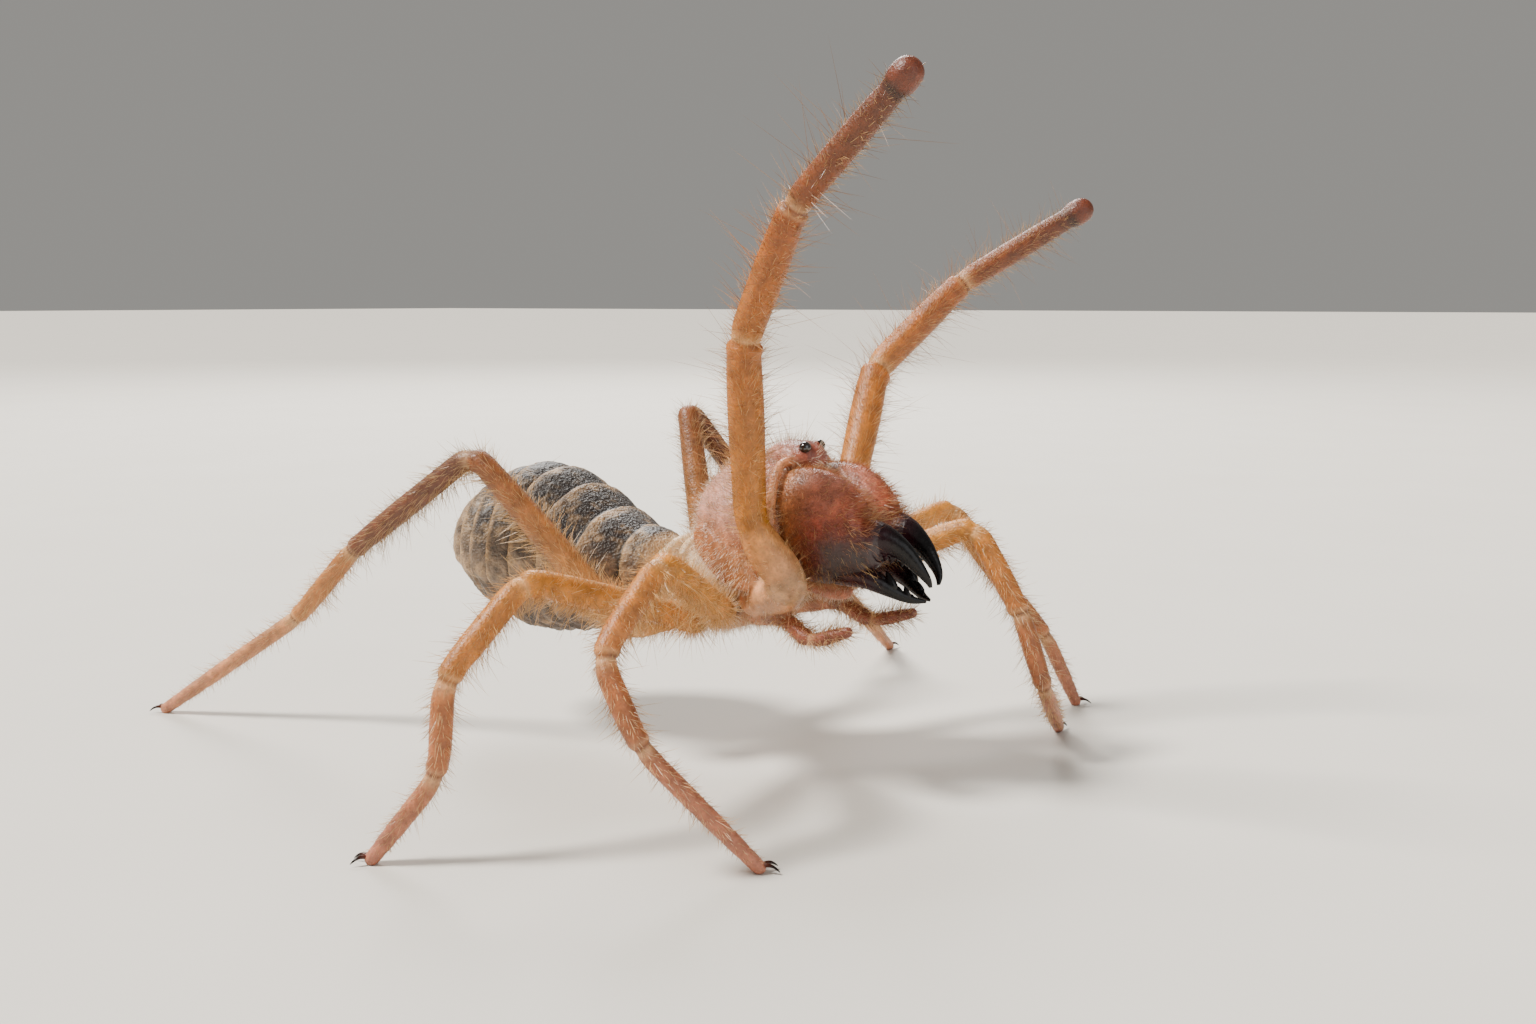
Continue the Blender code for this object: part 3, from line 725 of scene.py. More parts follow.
def trunk_sources():
    """The overlapping forms that melt into the trunk, each with its kind."""
    sources = [
        ("thorax", tube(station_loft(THORAX_STATIONS, 90, 72))),
        ("shield", ellipsoid(SHIELD_MIDDLE, SHIELD_HALF_SIZE, 96, 64)),
        ("mound", ellipsoid(MOUND_MIDDLE, MOUND_HALF_SIZE, 48, 32)),
        ("lip", ellipsoid(LIP_MIDDLE, LIP_HALF_SIZE, 32, 24, LIP_SLOPE)),
    ]
    sources += [("plate", ellipsoid(middle, half_size, 64, 24)) for middle, half_size in THORAX_PLATES]
    for side in SIDES.values():
        cheek = ellipsoid(mirrored(CHEEK_MIDDLE, side), CHEEK_HALF_SIZE, 40, 28, CHEEK_SLOPE)
        socket = mirrored(EYE_PLACE, side) - (0.25, side * 0.3, 0.3)
        sources.append(("cheek", cheek))
        sources.append(("collar", collar(side)))
        sources.append(("socket", ellipsoid(socket, (SOCKET_RADIUS,) * 3, 32, 20)))
    return sources


def trunk_form(form_start):
    """Thorax, head shield, cheeks and hips, melted into one skin."""
    sources = []
    for kind, (points, faces) in trunk_sources():
        form = Form(points, faces)
        form.form[:] = TRUNK.index(kind)
        sources.append(form)
    for side_name in SIDES:
        for number, kind in enumerate(LIMBS):
            hip = limb_form(kind, side_name, 0, 0, 0)
            hip.form[:] = TRUNK.index("hip") + number
            sources.append(hip)
    whole = joined(sources)
    mesh = bpy.data.meshes.new("trunk")
    mesh.from_pydata((whole.points * MM).tolist(), [], whole.faces)
    helper = linked("trunk", mesh)
    melt = helper.modifiers.new("melt", "REMESH")
    melt.mode = "VOXEL"
    melt.voxel_size = TRUNK_VOXEL * MM
    ease = helper.modifiers.new("ease", "SMOOTH")
    ease.factor = 0.5
    ease.iterations = 4
    melted = settled_mesh(helper)
    points = np.empty(len(melted.vertices) * 3)
    melted.vertices.foreach_get("co", points)
    form = Form(points.reshape(-1, 3) / MM, [tuple(face.vertices) for face in melted.polygons])
    tree = KDTree(len(whole.points))
    for i, point in enumerate(whole.points):
        tree.insert(point, i)
    tree.balance()
    nearest = np.array([tree.find(point)[1] for point in form.points])
    kinds = whole.form[nearest]
    for name in ("tint", "lie", "coat", "reach"):
        setattr(form, name, getattr(whole, name)[nearest].copy())
    neighbours = Neighbours(melted)
    uneven = 0.05 * speckle(form.points, 1.3, 31.0) + 0.03 * speckle(form.points, 0.5, 32.0)
    dress_trunk(form, kinds, neighbours)
    form.points = form.points + neighbours.normals * uneven[:, None]
    form.form = form_start + kinds
    return form


class Neighbours:
    """Evens out values over a mesh, from each point to the ones beside it."""

    def __init__(self, mesh):
        self.count = len(mesh.vertices)
        edges = np.empty(len(mesh.edges) * 2, np.int32)
        mesh.edges.foreach_get("vertices", edges)
        self.first, self.second = edges.reshape(-1, 2).T
        normals = np.empty(self.count * 3)
        mesh.vertices.foreach_get("normal", normals)
        self.normals = normals.reshape(-1, 3)
        self.near = np.bincount(self.first, minlength=self.count)
        self.near = self.near + np.bincount(self.second, minlength=self.count)

    def eased(self, values, rounds):
        """Each point's values replaced by the mean of its neighbours', some rounds over."""
        for _ in range(rounds):
            columns = [
                np.bincount(self.first, column[self.second], self.count)
                + np.bincount(self.second, column[self.first], self.count)
                for column in values.T
            ]
            values = np.stack(columns, axis=1) / self.near[:, None]
        return values

    def crease(self, points):
        """From 0 to 1, how much each point lies in a fold of the surface."""
        depth = ((self.eased(points, 14) - points) * self.normals).sum(axis=1)
        return smooth_step(self.eased(depth[:, None], 3)[:, 0], 0.012, 0.13)


def dress_trunk(form, kinds, neighbours):
    """Colours and bristles of the trunk."""
    x, y, z = form.points.T
    blotch = speckle(form.points, 1.8, 5.0) + 0.5 * speckle(form.points, 0.7, 6.0)
    gap = np.sqrt((x - EYE_PLACE[0]) ** 2 + (np.abs(y) - EYE_PLACE[1]) ** 2 + (z - EYE_PLACE[2]) ** 2)

    def where(*names):
        return np.isin(kinds, [TRUNK.index(name) for name in names])

    thorax = mix("B88A5C", "D8C0A0", smooth_step(z, 15.5, 20.5))
    thorax = mix(thorax, "B08450", smooth_step(-z, -15, -12.5))
    # Paler pink towards the top: partly the shield's own colour, partly a painted sheen
    shield = mix("C08A66", "CFA595", smooth_step(z, 22, 27))
    shield = mix(shield, "AE6E5A", 0.75 * smooth_step(x, 8.0, 12.5) * smooth_step(z, 25, 28))
    shield = mix(shield, "C08450", 0.8 * smooth_step(-z, -24, -20.5))
    patches = smooth_step(speckle(form.points, 2.6, 21.0), 0.1, 0.7) * smooth_step(z, 26, 30)
    shield = mix(shield, "A0625A", 0.5 * patches)
    tints = {
        "shield": shield,
        "mound": shield,
        "thorax": thorax,
        "cheek": mix("B9804F", "D0A27A", smooth_step(x, 6, 11)),
        "collar": linear("D29C74"),
        "lip": linear("B98062"),
        "plate": linear("D6BC98"),
        "socket": linear("A2582F"),
    }
    for kind, tint in tints.items():
        form.tint = np.where(where(kind)[:, None], tint, form.tint)
    ring = smooth_step(-gap, -1.8, -0.8) * where("mound", "socket", "shield")
    form.tint = mix(form.tint, "8A4424", 0.85 * ring)
    form.tint = neighbours.eased(form.tint, TINT_EASING) * (1 + 0.16 * blotch)[:, None]
    crease = neighbours.crease(form.points)
    # Painted shade: the folds of the trunk are darkened brown
    form.tint = np.clip(mix(form.tint, "6E4224", 0.75 * crease), 0, 1)
    skin = where("thorax", "shield", "mound", "cheek", "collar", "lip", "socket")
    lie = np.where(where("shield", "mound")[:, None], (0.6, 0.0, 0.2), (-0.2, 0.0, -1.0))
    form.lie = np.where(skin[:, None], lie, form.lie)
    form.reach = np.where(skin, 0.8, form.reach)
    form.reach = np.where(where("mound"), 1.3, form.reach)
    for chosen, number in (
        (skin, 8.0),
        (where("cheek"), 11.0),
        (where("socket") | (gap < 1.1), 0.0),
        (where("plate"), 5.0),
    ):
        form.coat = np.where(chosen, number, form.coat)
    form.coat = form.coat * (1 - 0.6 * crease)
    form.finish[:] = 0
    form.finish[where("shield", "mound", "collar", "cheek", "socket")] = 2


def unwrap(form, margin=0.0025):
    """Corner places on a flat map: each form's faces in six heaps by the way they face."""
    points = form.points
    heaps = {}
    for index, face in enumerate(form.faces):
        a, b, c = points[face[0]], points[face[1]], points[face[2]]
        normal = np.cross(b - a, c - b)
        axis = int(np.argmax(np.abs(normal)))
        heaps.setdefault((int(form.form[face[0]]), axis, normal[axis] > 0), []).append(index)
    sheets = []
    for (_, axis, _), members in heaps.items():
        keep = [i for i in range(3) if i != axis]
        corners = points[[i for index in members for i in form.faces[index]]][:, keep]
        low, high = corners.min(axis=0), corners.max(axis=0)
        turned = high[0] - low[0] < high[1] - low[1]
        sheets.append((members, corners[:, ::-1] if turned else corners))
    sheets.sort(key=lambda sheet: -np.ptp(sheet[1], axis=0)[1])
    area = sum(float(np.prod(np.ptp(corners, axis=0) + 0.2)) for _, corners in sheets)
    scale = 0.97 / math.sqrt(area)
    while True:
        left, bottom, shelf, placed = 0.0, 0.0, 0.0, []
        for members, corners in sheets:
            width, height = np.ptp(corners, axis=0) * scale + margin
            if left + width > 1.0:
                left, bottom, shelf = 0.0, bottom + shelf, 0.0
            placed.append((members, (corners - corners.min(axis=0)) * scale + (left, bottom)))
            left, shelf = left + width, max(shelf, height)
        if bottom + shelf <= 1.0:
            break
        scale *= 0.96
    rows = {}
    for members, places in placed:
        start = 0
        for index in members:
            rows[index] = places[start : start + len(form.faces[index])]
            start += len(form.faces[index])
    return np.concatenate([rows[index] for index in range(len(form.faces))])


def made_object(name, form, materials):
    """An object in metres from a form, with its values as attributes."""
    mesh = bpy.data.meshes.new(name)
    points = form.points * MM + np.array(SHIFT)
    mesh.from_pydata(points.tolist(), [], form.faces)
    uv_map = mesh.uv_layers.new(name="OFBake")
    uv_map.data.foreach_set("uv", unwrap(form).ravel())
    colour = mesh.attributes.new("tint", "FLOAT_COLOR", "POINT")
    tint = form.tint**DEPTH_OF_COLOUR
    colour.data.foreach_set("color", np.column_stack([tint, np.ones(len(points))]).ravel())
    mesh.attributes.new("lie", "FLOAT_VECTOR", "POINT").data.foreach_set("vector", form.lie.ravel())
    for key in ("coat", "reach"):
        mesh.attributes.new(key, "FLOAT", "POINT").data.foreach_set("value", getattr(form, key).ravel())
    mesh.shade_smooth()
    for finish in materials:
        mesh.materials.append(finish)
    if len(materials) > 1:
        first = np.array([face[0] for face in form.faces])
        mesh.polygons.foreach_set("material_index", form.finish[first].astype(np.int32))
    mesh.update()
    return linked(name, mesh)


def new_material(name):
    """A material and its node tree."""
    made = bpy.data.materials.new(name)
    made.use_nodes = True
    return made, made.node_tree


def finished(made, looks):
    """A material whose shader has the given inputs."""
    give(made.node_tree, made.node_tree.nodes["Principled BSDF"], looks)
    return made


def cloud(tree, size, detail=2.0):
    """Noise with blotches of a size in mm."""
    place = add(tree, "ShaderNodeTexCoord", out="Object")
    return add(tree, "ShaderNodeTexNoise", {"Vector": place, "Scale": 1 / (size * MM), "Detail": detail})


def ranged(tree, value, start, end, low, high):
    """A value that goes from low to high while the given one goes from start to end."""
    return add(tree, "ShaderNodeMapRange", {0: value, 1: start, 2: end, 3: low, 4: high})


def blended(tree, share, first, second, how="MIX"):
    """A blend of two colours, each another node's output or an sRGB colour."""
    ends = [(*linear(colour), 1) if isinstance(colour, str) else colour for colour in (first, second)]
    inputs = {0: share, 6: ends[0], 7: ends[1]}
    return add(tree, "ShaderNodeMix", inputs, 2, data_type="RGBA", blend_type=how)


def skin_material(name, roughness, grain, mottle, relief, gloss=0.0, glow=0.0, shine=0.5):
    """A skin that shows its own tint, mottled, with a grain of a size in mm and a relief in mm."""
    made, tree = new_material(name)
    fine = cloud(tree, grain, 3.0)
    place = add(tree, "ShaderNodeTexCoord", out="Object")
    pits = add(tree, "ShaderNodeTexVoronoi", {"Vector": place, "Scale": 1 / (1.6 * grain * MM)})
    shade = ranged(tree, cloud(tree, 5 * grain, 4.0), 0.3, 0.7, 1 - mottle, 1 + mottle)
    speck = ranged(tree, pits, 0.1, 0.6, 1 - mottle * 0.6, 1 + mottle * 0.3)
    both = add(tree, "ShaderNodeMath", {0: shade, 1: speck}, operation="MULTIPLY")
    height = add(tree, "ShaderNodeMath", {0: fine, 1: pits}, operation="ADD")
    tint = add(tree, "ShaderNodeAttribute", out="Color", attribute_name="tint")
    looks = {
        "Base Color": blended(tree, 1.0, tint, both, "MULTIPLY"),
        "Roughness": ranged(tree, fine, 0.3, 0.7, roughness - 0.08, roughness + 0.1),
        "Normal": add(tree, "ShaderNodeBump", {"Strength": 0.8, "Distance": relief * MM, "Height": height}),
        "IOR": CUTICLE_IOR,
        "Specular IOR Level": shine,
        "Coat Weight": gloss,
        "Coat Roughness": 0.25,
    }
    if glow:
        looks["Subsurface Weight"] = glow
        looks["Subsurface Radius"] = (1.0, 0.45, 0.2)
        looks["Subsurface Scale"] = GLOW_DEPTH * MM
    return finished(made, looks)


def eye_material():
    """A polished black lens, which gives the eye its one sharp highlight."""
    made, tree = new_material("eye_lens_chitin")
    colour = blended(tree, cloud(tree, 0.5), "060404", "1C0F0A")
    gloss = {"Roughness": 0.06, "Coat Weight": 1.0, "Coat Roughness": 0.03}
    return finished(made, {"Base Color": colour, **gloss})


def bristle_material(name, straw, share):
    """Fine hollow hairs: the tint of the skin at the root, paling to straw at the tip."""
    made, tree = new_material(name)
    tint = add(tree, "ShaderNodeAttribute", out="Color", attribute_name="tint")
    rise = add(tree, "ShaderNodeAttribute", out="Fac", attribute_name="rise")
    vary = add(tree, "ShaderNodeAttribute", out="Fac", attribute_name="vary")
    colour = blended(tree, ranged(tree, rise, 0.0, 0.6, share * 0.55, share), tint, straw)
    shaded = blended(tree, 1.0, colour, ranged(tree, vary, 0.0, 1.0, 0.62, 1.2), "MULTIPLY")
    return finished(made, {"Base Color": shaded, "Roughness": 0.38, "IOR": CUTICLE_IOR})


def bristle_tree():
    """Bristles grown from a skin by its own values for how many, how long and which way."""
    tree = bpy.data.node_groups.new("bristles", "GeometryNodeTree")
    kinds = {"Skin": "Geometry", "Bristle": "Object", **dict.fromkeys(BRISTLE_SIZES, "Float")}
    for name, kind in {**kinds, "Seed": "Int", "Hair": "Material"}.items():
        tree.interface.new_socket(name, in_out="INPUT", socket_type="NodeSocket" + kind)
    tree.interface.new_socket("Bristles", in_out="OUTPUT", socket_type="NodeSocketGeometry")
    given = tree.nodes.new("NodeGroupInput").outputs
    seed = {"Seed": given["Seed"]}

    def value(name, kind="FLOAT"):
        return add(tree, "GeometryNodeInputNamedAttribute", {0: name}, data_type=kind)

    def product(first, second):
        return add(tree, "ShaderNodeMath", {0: first, 1: second}, operation="MULTIPLY")

    def scaled(vector, size):
        return add(tree, "ShaderNodeVectorMath", {0: vector, 3: size}, operation="SCALE")

    def total(first, second):
        return add(tree, "ShaderNodeVectorMath", {0: first, 1: second})

    def chance(inputs, out=1, kind="FLOAT"):
        return add(tree, "FunctionNodeRandomValue", inputs, out, data_type=kind)

    def stored(geometry, name, number, kind, domain="POINT"):
        inputs = {"Geometry": geometry, "Name": name, "Value": number}
        return add(tree, "GeometryNodeStoreNamedAttribute", inputs, data_type=kind, domain=domain)

    density = product(value("coat"), given["Number"])
    roots = add(
        tree,
        "GeometryNodeDistributePointsOnFaces",
        {"Mesh": given["Skin"], "Density": density, **seed},
        distribute_method="RANDOM",
    )
    jitter = chance({0: (-1.0, -1.0, -1.0), 1: (1.0, 1.0, 1.0), **seed}, 0, "FLOAT_VECTOR")
    lie = value("lie", "FLOAT_VECTOR")
    lifted = total(roots.node.outputs["Normal"], scaled(lie, given["Lean"]))
    aimed = total(lifted, scaled(jitter, given["Scatter"]))
    standing = add(tree, "FunctionNodeAlignRotationToVector", {"Vector": aimed}, axis="Z")
    turned = add(
        tree,
        "FunctionNodeAlignRotationToVector",
        {"Rotation": standing, "Vector": lie},
        axis="X",
        pivot_axis="Z",
    )
    length = product(chance({2: given["Shortest"], 3: given["Longest"], **seed}), value("reach"))
    thickness = given["Thickness"]
    size = add(tree, "ShaderNodeCombineXYZ", {0: thickness, 1: thickness, 2: length})
    shaded = stored(roots, "vary", chance({2: 0.0, 3: 1.0, "Seed": 7}), "FLOAT")
    rooted = stored(shaded, "root", value("OFBake", "FLOAT_VECTOR"), "FLOAT_VECTOR")
    bristle = add(tree, "GeometryNodeObjectInfo", {"Object": given["Bristle"]}, "Geometry")
    placing = {"Points": rooted, "Instance": bristle, "Rotation": turned, "Scale": size}
    copies = add(tree, "GeometryNodeInstanceOnPoints", placing)
    solid = add(tree, "GeometryNodeRealizeInstances", {"Geometry": copies})
    spot = total(value("root", "FLOAT_VECTOR"), value("patch", "FLOAT_VECTOR"))
    mapped = stored(solid, "OFBake", spot, "FLOAT2", "CORNER")
    coated = add(tree, "GeometryNodeSetMaterial", {"Geometry": mapped, "Material": given["Hair"]})
    give(tree, tree.nodes.new("NodeGroupOutput"), {0: coated})
    return tree


def bristle_object(name, stops):
    """One straight bristle of unit length and radius, three-sided and tapering."""
    points = []
    for height, radius in stops:
        for angle in (0.0, 2 * math.pi / 3, 4 * math.pi / 3):
            points.append((math.cos(angle) * radius, math.sin(angle) * radius, height))
    points.append((0.0, 0.0, 1.0))
    last = len(stops) - 1
    faces = []
    for level in range(last):
        for i in range(3):
            j = (i + 1) % 3
            low, high = level * 3, level * 3 + 3
            faces.append((low + i, low + j, high + j, high + i))
    for i in range(3):
        faces.append((last * 3 + i, last * 3 + (i + 1) % 3, len(points) - 1))
    faces.append((2, 1, 0))
    mesh = bpy.data.meshes.new(name)
    mesh.from_pydata(points, [], faces)
    rises = [height for _, _, height in points]
    mesh.attributes.new("rise", "FLOAT", "POINT").data.foreach_set("value", rises)
    patch = []
    for face in faces:
        for x, _, height in (points[i] for i in face):
            patch += [x * BRISTLE_PATCH[0], (height - 0.5) * BRISTLE_PATCH[1], 0.0]
    mesh.attributes.new("patch", "FLOAT_VECTOR", "CORNER").data.foreach_set("vector", patch)
    return linked(name, mesh)


def grown(name, skin, tree, bristle, hair, chosen, sizes, seed):
    """A coat piece: bristles over the chosen points of a skin."""
    surface = skin.data.copy()
    values = np.empty(len(surface.vertices), np.float32)
    surface.attributes["coat"].data.foreach_get("value", values)
    surface.attributes["coat"].data.foreach_set("value", values * chosen)
    carrier = linked(name + "_carrier", surface)
    growth = carrier.modifiers.new("bristles", "NODES")
    growth.node_group = tree
    given = {size: number * unit for (size, unit), number in zip(BRISTLE_SIZES.items(), sizes)}
    given.update(Bristle=bristle, Hair=hair, Seed=seed)
    for item in tree.interface.items_tree:
        if item.in_out == "INPUT" and item.name in given:
            growth[item.identifier] = given[item.name]
    mesh = settled_mesh(carrier)
    mesh.name = name
    return linked(name, mesh)


def chelicera_offset(side, tip_offset=CHELICERA_TIP_OFFSET):
    """How far from the middle plane the chelicera's own middle line runs, back to tip."""
    return lambda share: side * (
        CHELICERA_BACK_OFFSET + (tip_offset - CHELICERA_BACK_OFFSET) * share**2
    )


def tooth(base, direction, lean, length, radius, sides=16):
    """A smooth pointed tooth with its root sunk behind its base point."""
    direction = np.array(direction) / np.linalg.norm(direction)
    first = np.cross(direction, (0.0, 1.0, 0.0))
    first /= np.linalg.norm(first)
    second = np.cross(direction, first)
    around = np.arange(sides) / sides * 2 * math.pi
    ring = np.outer(np.cos(around), first) * 1.1 + np.outer(np.sin(around), second) * 0.8
    rings = []
    for way in (-0.5, 0.0, 0.25, 0.5, 0.7, 0.85, 0.95, 1.0):
        width = radius * (1.05 - max(way, 0.0)) ** 0.7
        middle = np.array(base) + direction * length * way + np.array(lean) * length * max(way, 0) ** 2
        rings.append(middle + width * ring)
    return tube(rings)


def finger_form(stations, table, offset, upward, count, sides):
    """A finger lofted through its stations, with its teeth along the biting edge."""
    forms = [Form(*tube(station_loft(stations, count, sides, offset)))]
    xs = [station[0] for station in stations]
    for x, length, radius in table:
        z = float(np.interp(x, xs, [s[1] + upward * s[3] for s in stations]))
        share = float(np.interp(x, xs, np.linspace(0, 1, len(xs))))
        base = (x, offset(share), z - upward * TOOTH_ROOT)
        direction, lean = (-0.1, 0.0, upward), (-0.25, 0.0, 0.0)
        forms.append(Form(*tooth(base, direction, lean, length + TOOTH_ROOT, radius)))
    return joined(forms)


def horn_tint(form, flesh, start, end):
    """Darken from flesh through purple-brown to black along X."""
    x = form.points[:, 0]
    middle = (start + end) / 2
    tint = mix(flesh, "43202A", smooth_step(x, start, middle))
    return np.clip(mix(tint, "140E12", smooth_step(x, middle - 0.6, end)), 0, 1)


def chelicera_form(side, form_number):
    """A chelicera: the swollen bulb running on into the fixed upper finger, with its teeth."""
    form = finger_form(CHELICERA_STATIONS, FINGER_TEETH, chelicera_offset(side), -1, 170, 84)
    x, _, z = form.points.T
    blotch = speckle(form.points, 1.5, 11.0) + 0.6 * speckle(form.points, 0.6, 12.0)
    flesh = mix("5E2216", "9A503A", smooth_step(z, 20.0, 24.6))
    # The pale pink top is partly the bulb's own colour and partly a painted sheen
    flesh = mix(flesh, "BE8672", smooth_step(z, 24.4, 28.4))
    flesh = mix(flesh, "C08E60", 0.85 * smooth_step(-x, -17.2, -13.0))
    flesh = mix(flesh, "AA5A2C", 0.6 * smooth_step(x, 18.0, 20.5) * smooth_step(z, 24.0, 26.5))
    dark = smooth_step(x, 15.5, 19.0) * smooth_step(-z, -26.0, -23.0)
    flesh = mix(flesh, "360E08", 0.9 * dark) * (1 + 0.22 * blotch)[:, None]
    form.tint = horn_tint(form, flesh, *CHELICERA_DARKENS)
    form.lie = np.tile((1.0, 0.0, -0.25), (len(form.points), 1))
    bare = smooth_step(x, *CHELICERA_BARES)
    form.coat = 22.0 * (1 - bare) * (1 - 0.75 * dark) * smooth_step(x, 12.4, 13.4)
    form.reach = 0.7 + 0.8 * smooth_step(x, 18.5, 21.5) + 0.15 * blotch
    form.form[:] = form_number
    form.finish = (x > CHELICERA_BARES[1]).astype(int)
    return form


def jaw_form(side, form_number):
    """A movable lower finger with its teeth."""
    offset = chelicera_offset(side, JAW_TIP_OFFSET)
    form = finger_form(JAW_STATIONS, JAW_TEETH, offset, 1, 90, 48)
    blotch = speckle(form.points, 1.2, 13.0)
    form.tint = horn_tint(form, linear("521C12") * (1 + 0.2 * blotch)[:, None], *JAW_DARKENS)
    form.lie = np.tile((1.0, 0.0, 0.3), (len(form.points), 1))
    form.coat = 9.0 * (1 - smooth_step(form.points[:, 0], *JAW_BARES))
    form.reach[:] = 0.8
    form.form[:] = form_number
    return form


def eye_form(side, form_number):
    """A round lens on one side of the mound."""
    form = Form(*ellipsoid(mirrored(EYE_PLACE, side), (EYE_RADIUS,) * 3, 40, 28))
    form.tint[:] = linear("0A0807")
    form.form[:] = form_number
    return form


def claw_form(tip, turn, form_number, sides=10):
    """One slim curved claw from a foot's tip, pointing along a level angle."""
    forward = np.array((math.cos(turn), math.sin(turn), 0.0))
    start = np.array(tip) + 0.1 * forward
    start[2] = CLAW_HEIGHT
    ways = np.linspace(0, 1, 14)
    places = start + np.outer(ways * CLAW_LENGTH, forward)
    places[:, 2] += 0.34 * np.sin(ways * math.pi * 0.75) - 0.52 * ways**2.2
    points, faces = rope(places, 1.0, sides)
    radii = np.repeat(CLAW_RADIUS * (1 - ways) ** 0.6 + 0.02, sides)
    middles = np.repeat(places, sides, axis=0)
    points[: len(middles)] = middles + (points[: len(middles)] - middles) * radii[:, None]
    form = Form(points, faces)
    form.points[:, 2] = np.maximum(form.points[:, 2], 0.02)
    dark = smooth_step(np.append(np.repeat(ways, sides), (0, 1)), 0.1, 0.8)
    form.tint = mix("7A4630", "24130E", dark)
    form.form[:] = form_number
    return form


def claw_forms():
    """Two claws on each of the six walking feet."""
    made = []
    for kind in ("leg2", "leg3", "leg4"):
        for side_name in SIDES:
            joints = limb_joints(kind, side_name)
            along = joints[-1] - joints[-2]
            for spread in (-CLAW_SPREAD, CLAW_SPREAD):
                turn = math.atan2(along.y, along.x) + math.radians(spread)
                made.append(claw_form(joints[-1], turn, len(made)))
    return joined(made)


def build_camera():
    """The photo's camera."""
    camera = linked("camera", bpy.data.cameras.new("camera"))
    camera.data.lens = 35.0
    camera.data.sensor_width = 36.0
    camera.data.clip_start = 0.002
    camera.location = Vector(CAMERA_PLACE) * MM + SHIFT
    camera.rotation_euler = (math.radians(90 - CAMERA_PITCH), 0.0, math.radians(CAMERA_AZIMUTH))
    bpy.context.scene.camera = camera


def build_floor():
    """A plain pale tabletop."""
    # Chalky board paint, which gives the eye nothing but the animal's shadow
    made, tree = new_material("painted_board_floor")
    colour = blended(tree, cloud(tree, 30), "D9D4CB", "DFDBD3")
    finished(made, {"Base Color": colour, "Roughness": 0.85})
    mesh = bpy.data.meshes.new("floor")
    corners = ((-1, -1), (1, -1), (1, 1), (-1, 1))
    places = [(x * FLOOR_HALF_WIDTH, y * FLOOR_HALF_WIDTH, -FLOOR_DROP) for x, y in corners]
    mesh.from_pydata(places, [], [(0, 1, 2, 3)])
    mesh.materials.append(made)
    floor = linked("floor", mesh)


def build_light(name, azimuth, elevation, distance, size, power, colour):
    """A soft square lamp that looks at the middle of the animal, or a far one if it has no size."""
    lamp = bpy.data.lights.new(name, "AREA" if size else "SUN")
    if size:
        lamp.size = size
    else:
        lamp.angle = math.radians(KEY_SPREAD)
    lamp.energy = power
    lamp.color = colour
    thing = linked(name, lamp)
    turn, rise = math.radians(azimuth), math.radians(elevation)
    direction = Vector((math.sin(turn) * math.cos(rise), -math.cos(turn) * math.cos(rise), math.sin(rise)))
    thing.location = Vector((0, 0, 0.02)) + direction * distance
    thing.rotation_euler = direction.to_track_quat("Z", "Y").to_euler()


def build_lights():
    """The lamps, and an even pale surround."""
    for lamp in LAMPS:
        build_light(*lamp)
    world = bpy.data.worlds.new("studio")
    world.use_nodes = True
    background = world.node_tree.nodes["Background"]
    give(world.node_tree, background, {"Color": (*linear("E9E6E0"), 1), "Strength": SURROUND_STRENGTH})
    bpy.context.scene.world = world


def build_skin():
    """The one skin of trunk, abdomen, legs and palps."""
    forms = [abdomen_form(0), trunk_form(1)]
    number = 1 + len(TRUNK) + len(LIMBS)
    for side_name in SIDES:
        for kind, limb in LIMBS.items():
            forms.append(limb_form(kind, side_name, 1, len(limb["parts"]) - 1, number))
            number += len(limb["parts"])
    form = joined(forms)
    finishes = (
        # Thin waxy cuticle: light gets in, so that the limbs glow amber at their edges
        skin_material("leg_cuticle", 0.48, 0.16, 0.22, 0.05, 0.04, 0.3),
        # Leathery folded skin: a coarse grain that keeps the abdomen dull and soft
        skin_material("abdomen_folded_skin", 0.5, 0.2, 0.34, 0.16, 0.1, 0.06),
        # Hard pale shield: a smooth sheen that shows its dome
        skin_material("shield_cuticle", 0.42, 0.16, 0.24, 0.055, 0.15, 0.2),
    )
    skin = made_object("skin", form, finishes)
    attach(skin, "root")
    nodes = ["thorax", "head_shield", "abdomen_front", "abdomen_middle", "abdomen_rear"]
    for side_name in SIDES:
        for kind, limb in LIMBS.items():
            nodes += [f"{kind}_{side_name}_{part}" for part in limb["parts"]]
    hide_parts(*nodes)
    return skin, form


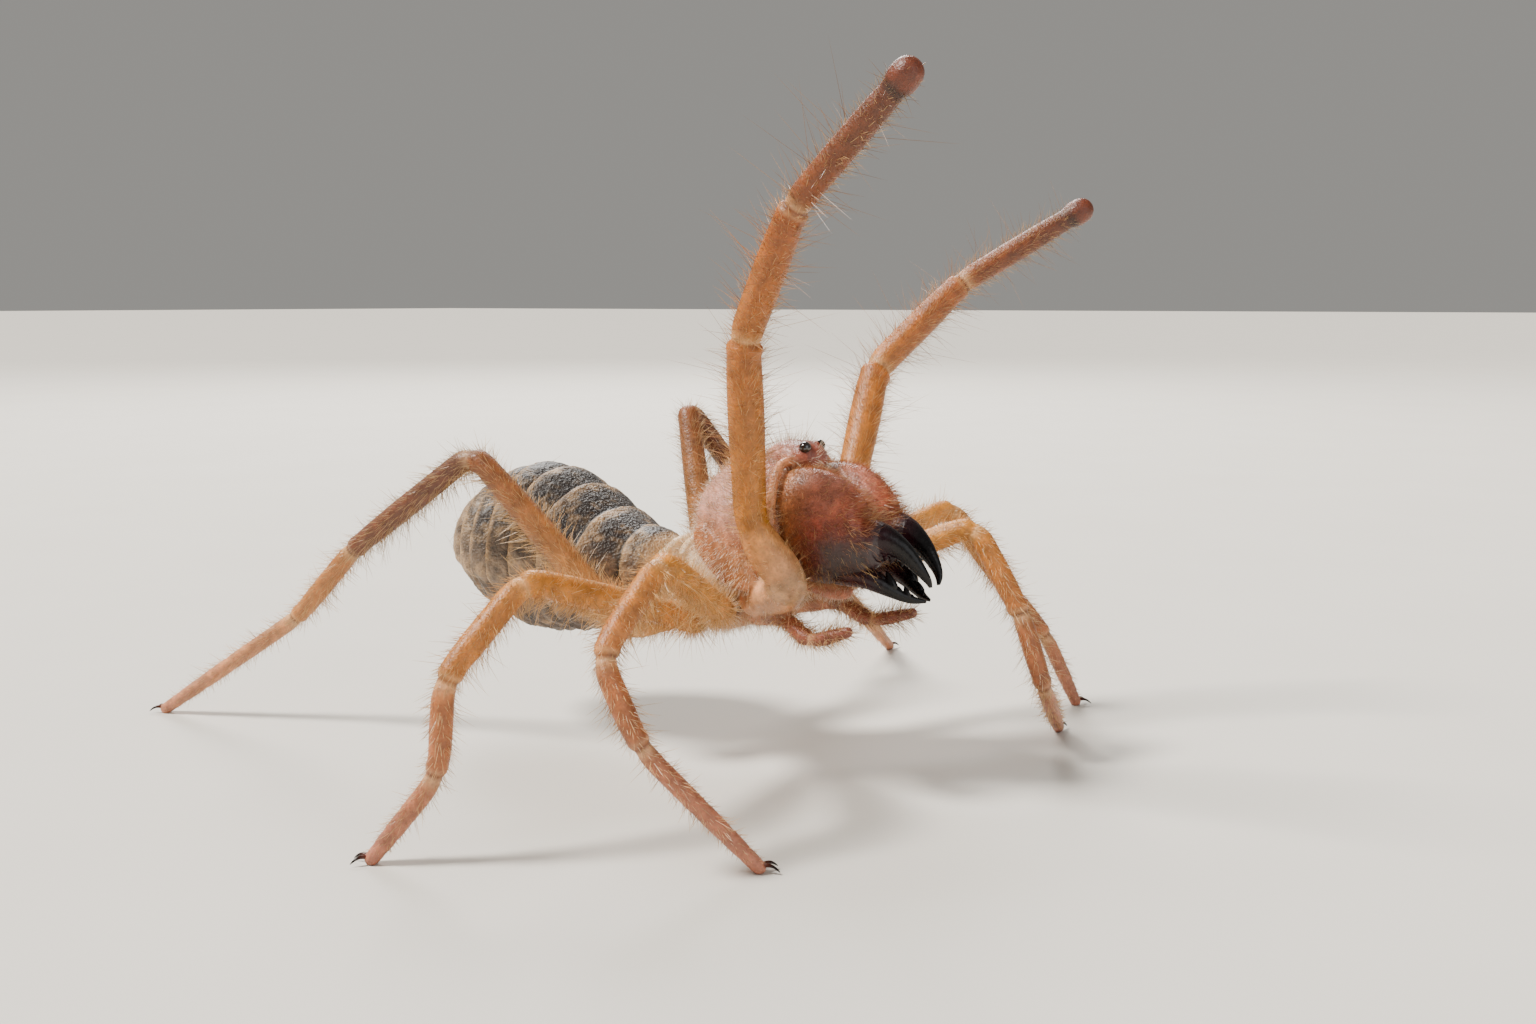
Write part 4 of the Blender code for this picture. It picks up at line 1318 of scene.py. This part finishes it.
def build_mouthparts():
    """The chelicerae and their lower fingers, the claws and the eyes."""
    # Thick rust-red cuticle: a low satin sheen that rounds the bulbs
    bulb = skin_material("chelicera_cuticle", 0.4, 0.16, 0.28, 0.06, 0.15, 0.1)
    # Black horn: a narrow shine that draws each finger's curve
    horn = skin_material("finger_horn", 0.27, 0.3, 0.15, 0.02, 0.0, 0.0, 0.25)
    sides = list(enumerate(SIDES.values()))
    forms = joined([chelicera_form(side, i) for i, side in sides])
    chelicerae = made_object("chelicerae", forms, (bulb, horn))
    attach(chelicerae, "root")
    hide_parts("chelicera_right", "chelicera_left")
    jaws = made_object("jaws", joined([jaw_form(side, i) for i, side in sides]), (horn,))
    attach(jaws, "root")
    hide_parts("jaw_right", "jaw_left")
    claws = made_object("claws", claw_forms(), (horn,))
    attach(claws, "root")
    eyes = made_object("eyes", joined([eye_form(side, i) for i, side in sides]), (eye_material(),))
    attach(eyes, "root")
    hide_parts("eye_right", "eye_left")
    return chelicerae, jaws


def build_coats(skin, form, chelicerae, jaws):
    """The short hairs and long bristles, each piece with its own hair and its own part of a skin."""
    hairs = {
        # Fine dry hair: gold catches the light, brown stays quiet against the palps, pale frosts
        # the shield with a whiteness that is partly a painted glint, and rust warms the bulbs
        "gold": bristle_material("gold_bristle", "E9C287", 0.66),
        "brown": bristle_material("brown_bristle", "B08A68", 0.6),
        "pale": bristle_material("pale_glint_bristle", "F6E4C8", 0.85),
        "rust": bristle_material("rust_bristle", "D89A66", 0.5),
    }
    tree = bristle_tree()
    bristles = {name: bristle_object(name + "_bristle", stops) for name, stops in BRISTLES.items()}
    part = form.form
    first = 1 + len(TRUNK) + len(LIMBS)
    per_side = sum(len(limb["parts"]) for limb in LIMBS.values())
    palp = (part >= first) & ((part - first) % per_side < len(LIMBS["palp"]["parts"]))
    places = {
        "abdomen": (skin, part == 0, "abdomen_skin"),
        "trunk": (skin, (part > 0) & (part < first), "head_skin"),
        "leg": (skin, (part >= first) & ~palp, "limb_skin"),
        "palp": (skin, palp, "palp_skin"),
        "chelicera": (chelicerae, 1.0, "chelicera_skin"),
        "jaw": (jaws, 1.0, "finger_horn"),
    }
    for seed, (name, place, bristle, hair, sizes) in enumerate(COATS):
        surface, chosen, slot = places[place]
        coat = grown(name, surface, tree, bristles[bristle], hairs[hair], chosen, sizes, seed + 1)
        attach(coat, "root")
    for bristle in bristles.values():
        bpy.data.objects.remove(bristle, do_unlink=True)


def main():
    """Everything, from the camera to the last coat."""
    build_camera()
    build_floor()
    build_lights()
    skin, form = build_skin()
    chelicerae, jaws = build_mouthparts()
    build_coats(skin, form, chelicerae, jaws)


main()
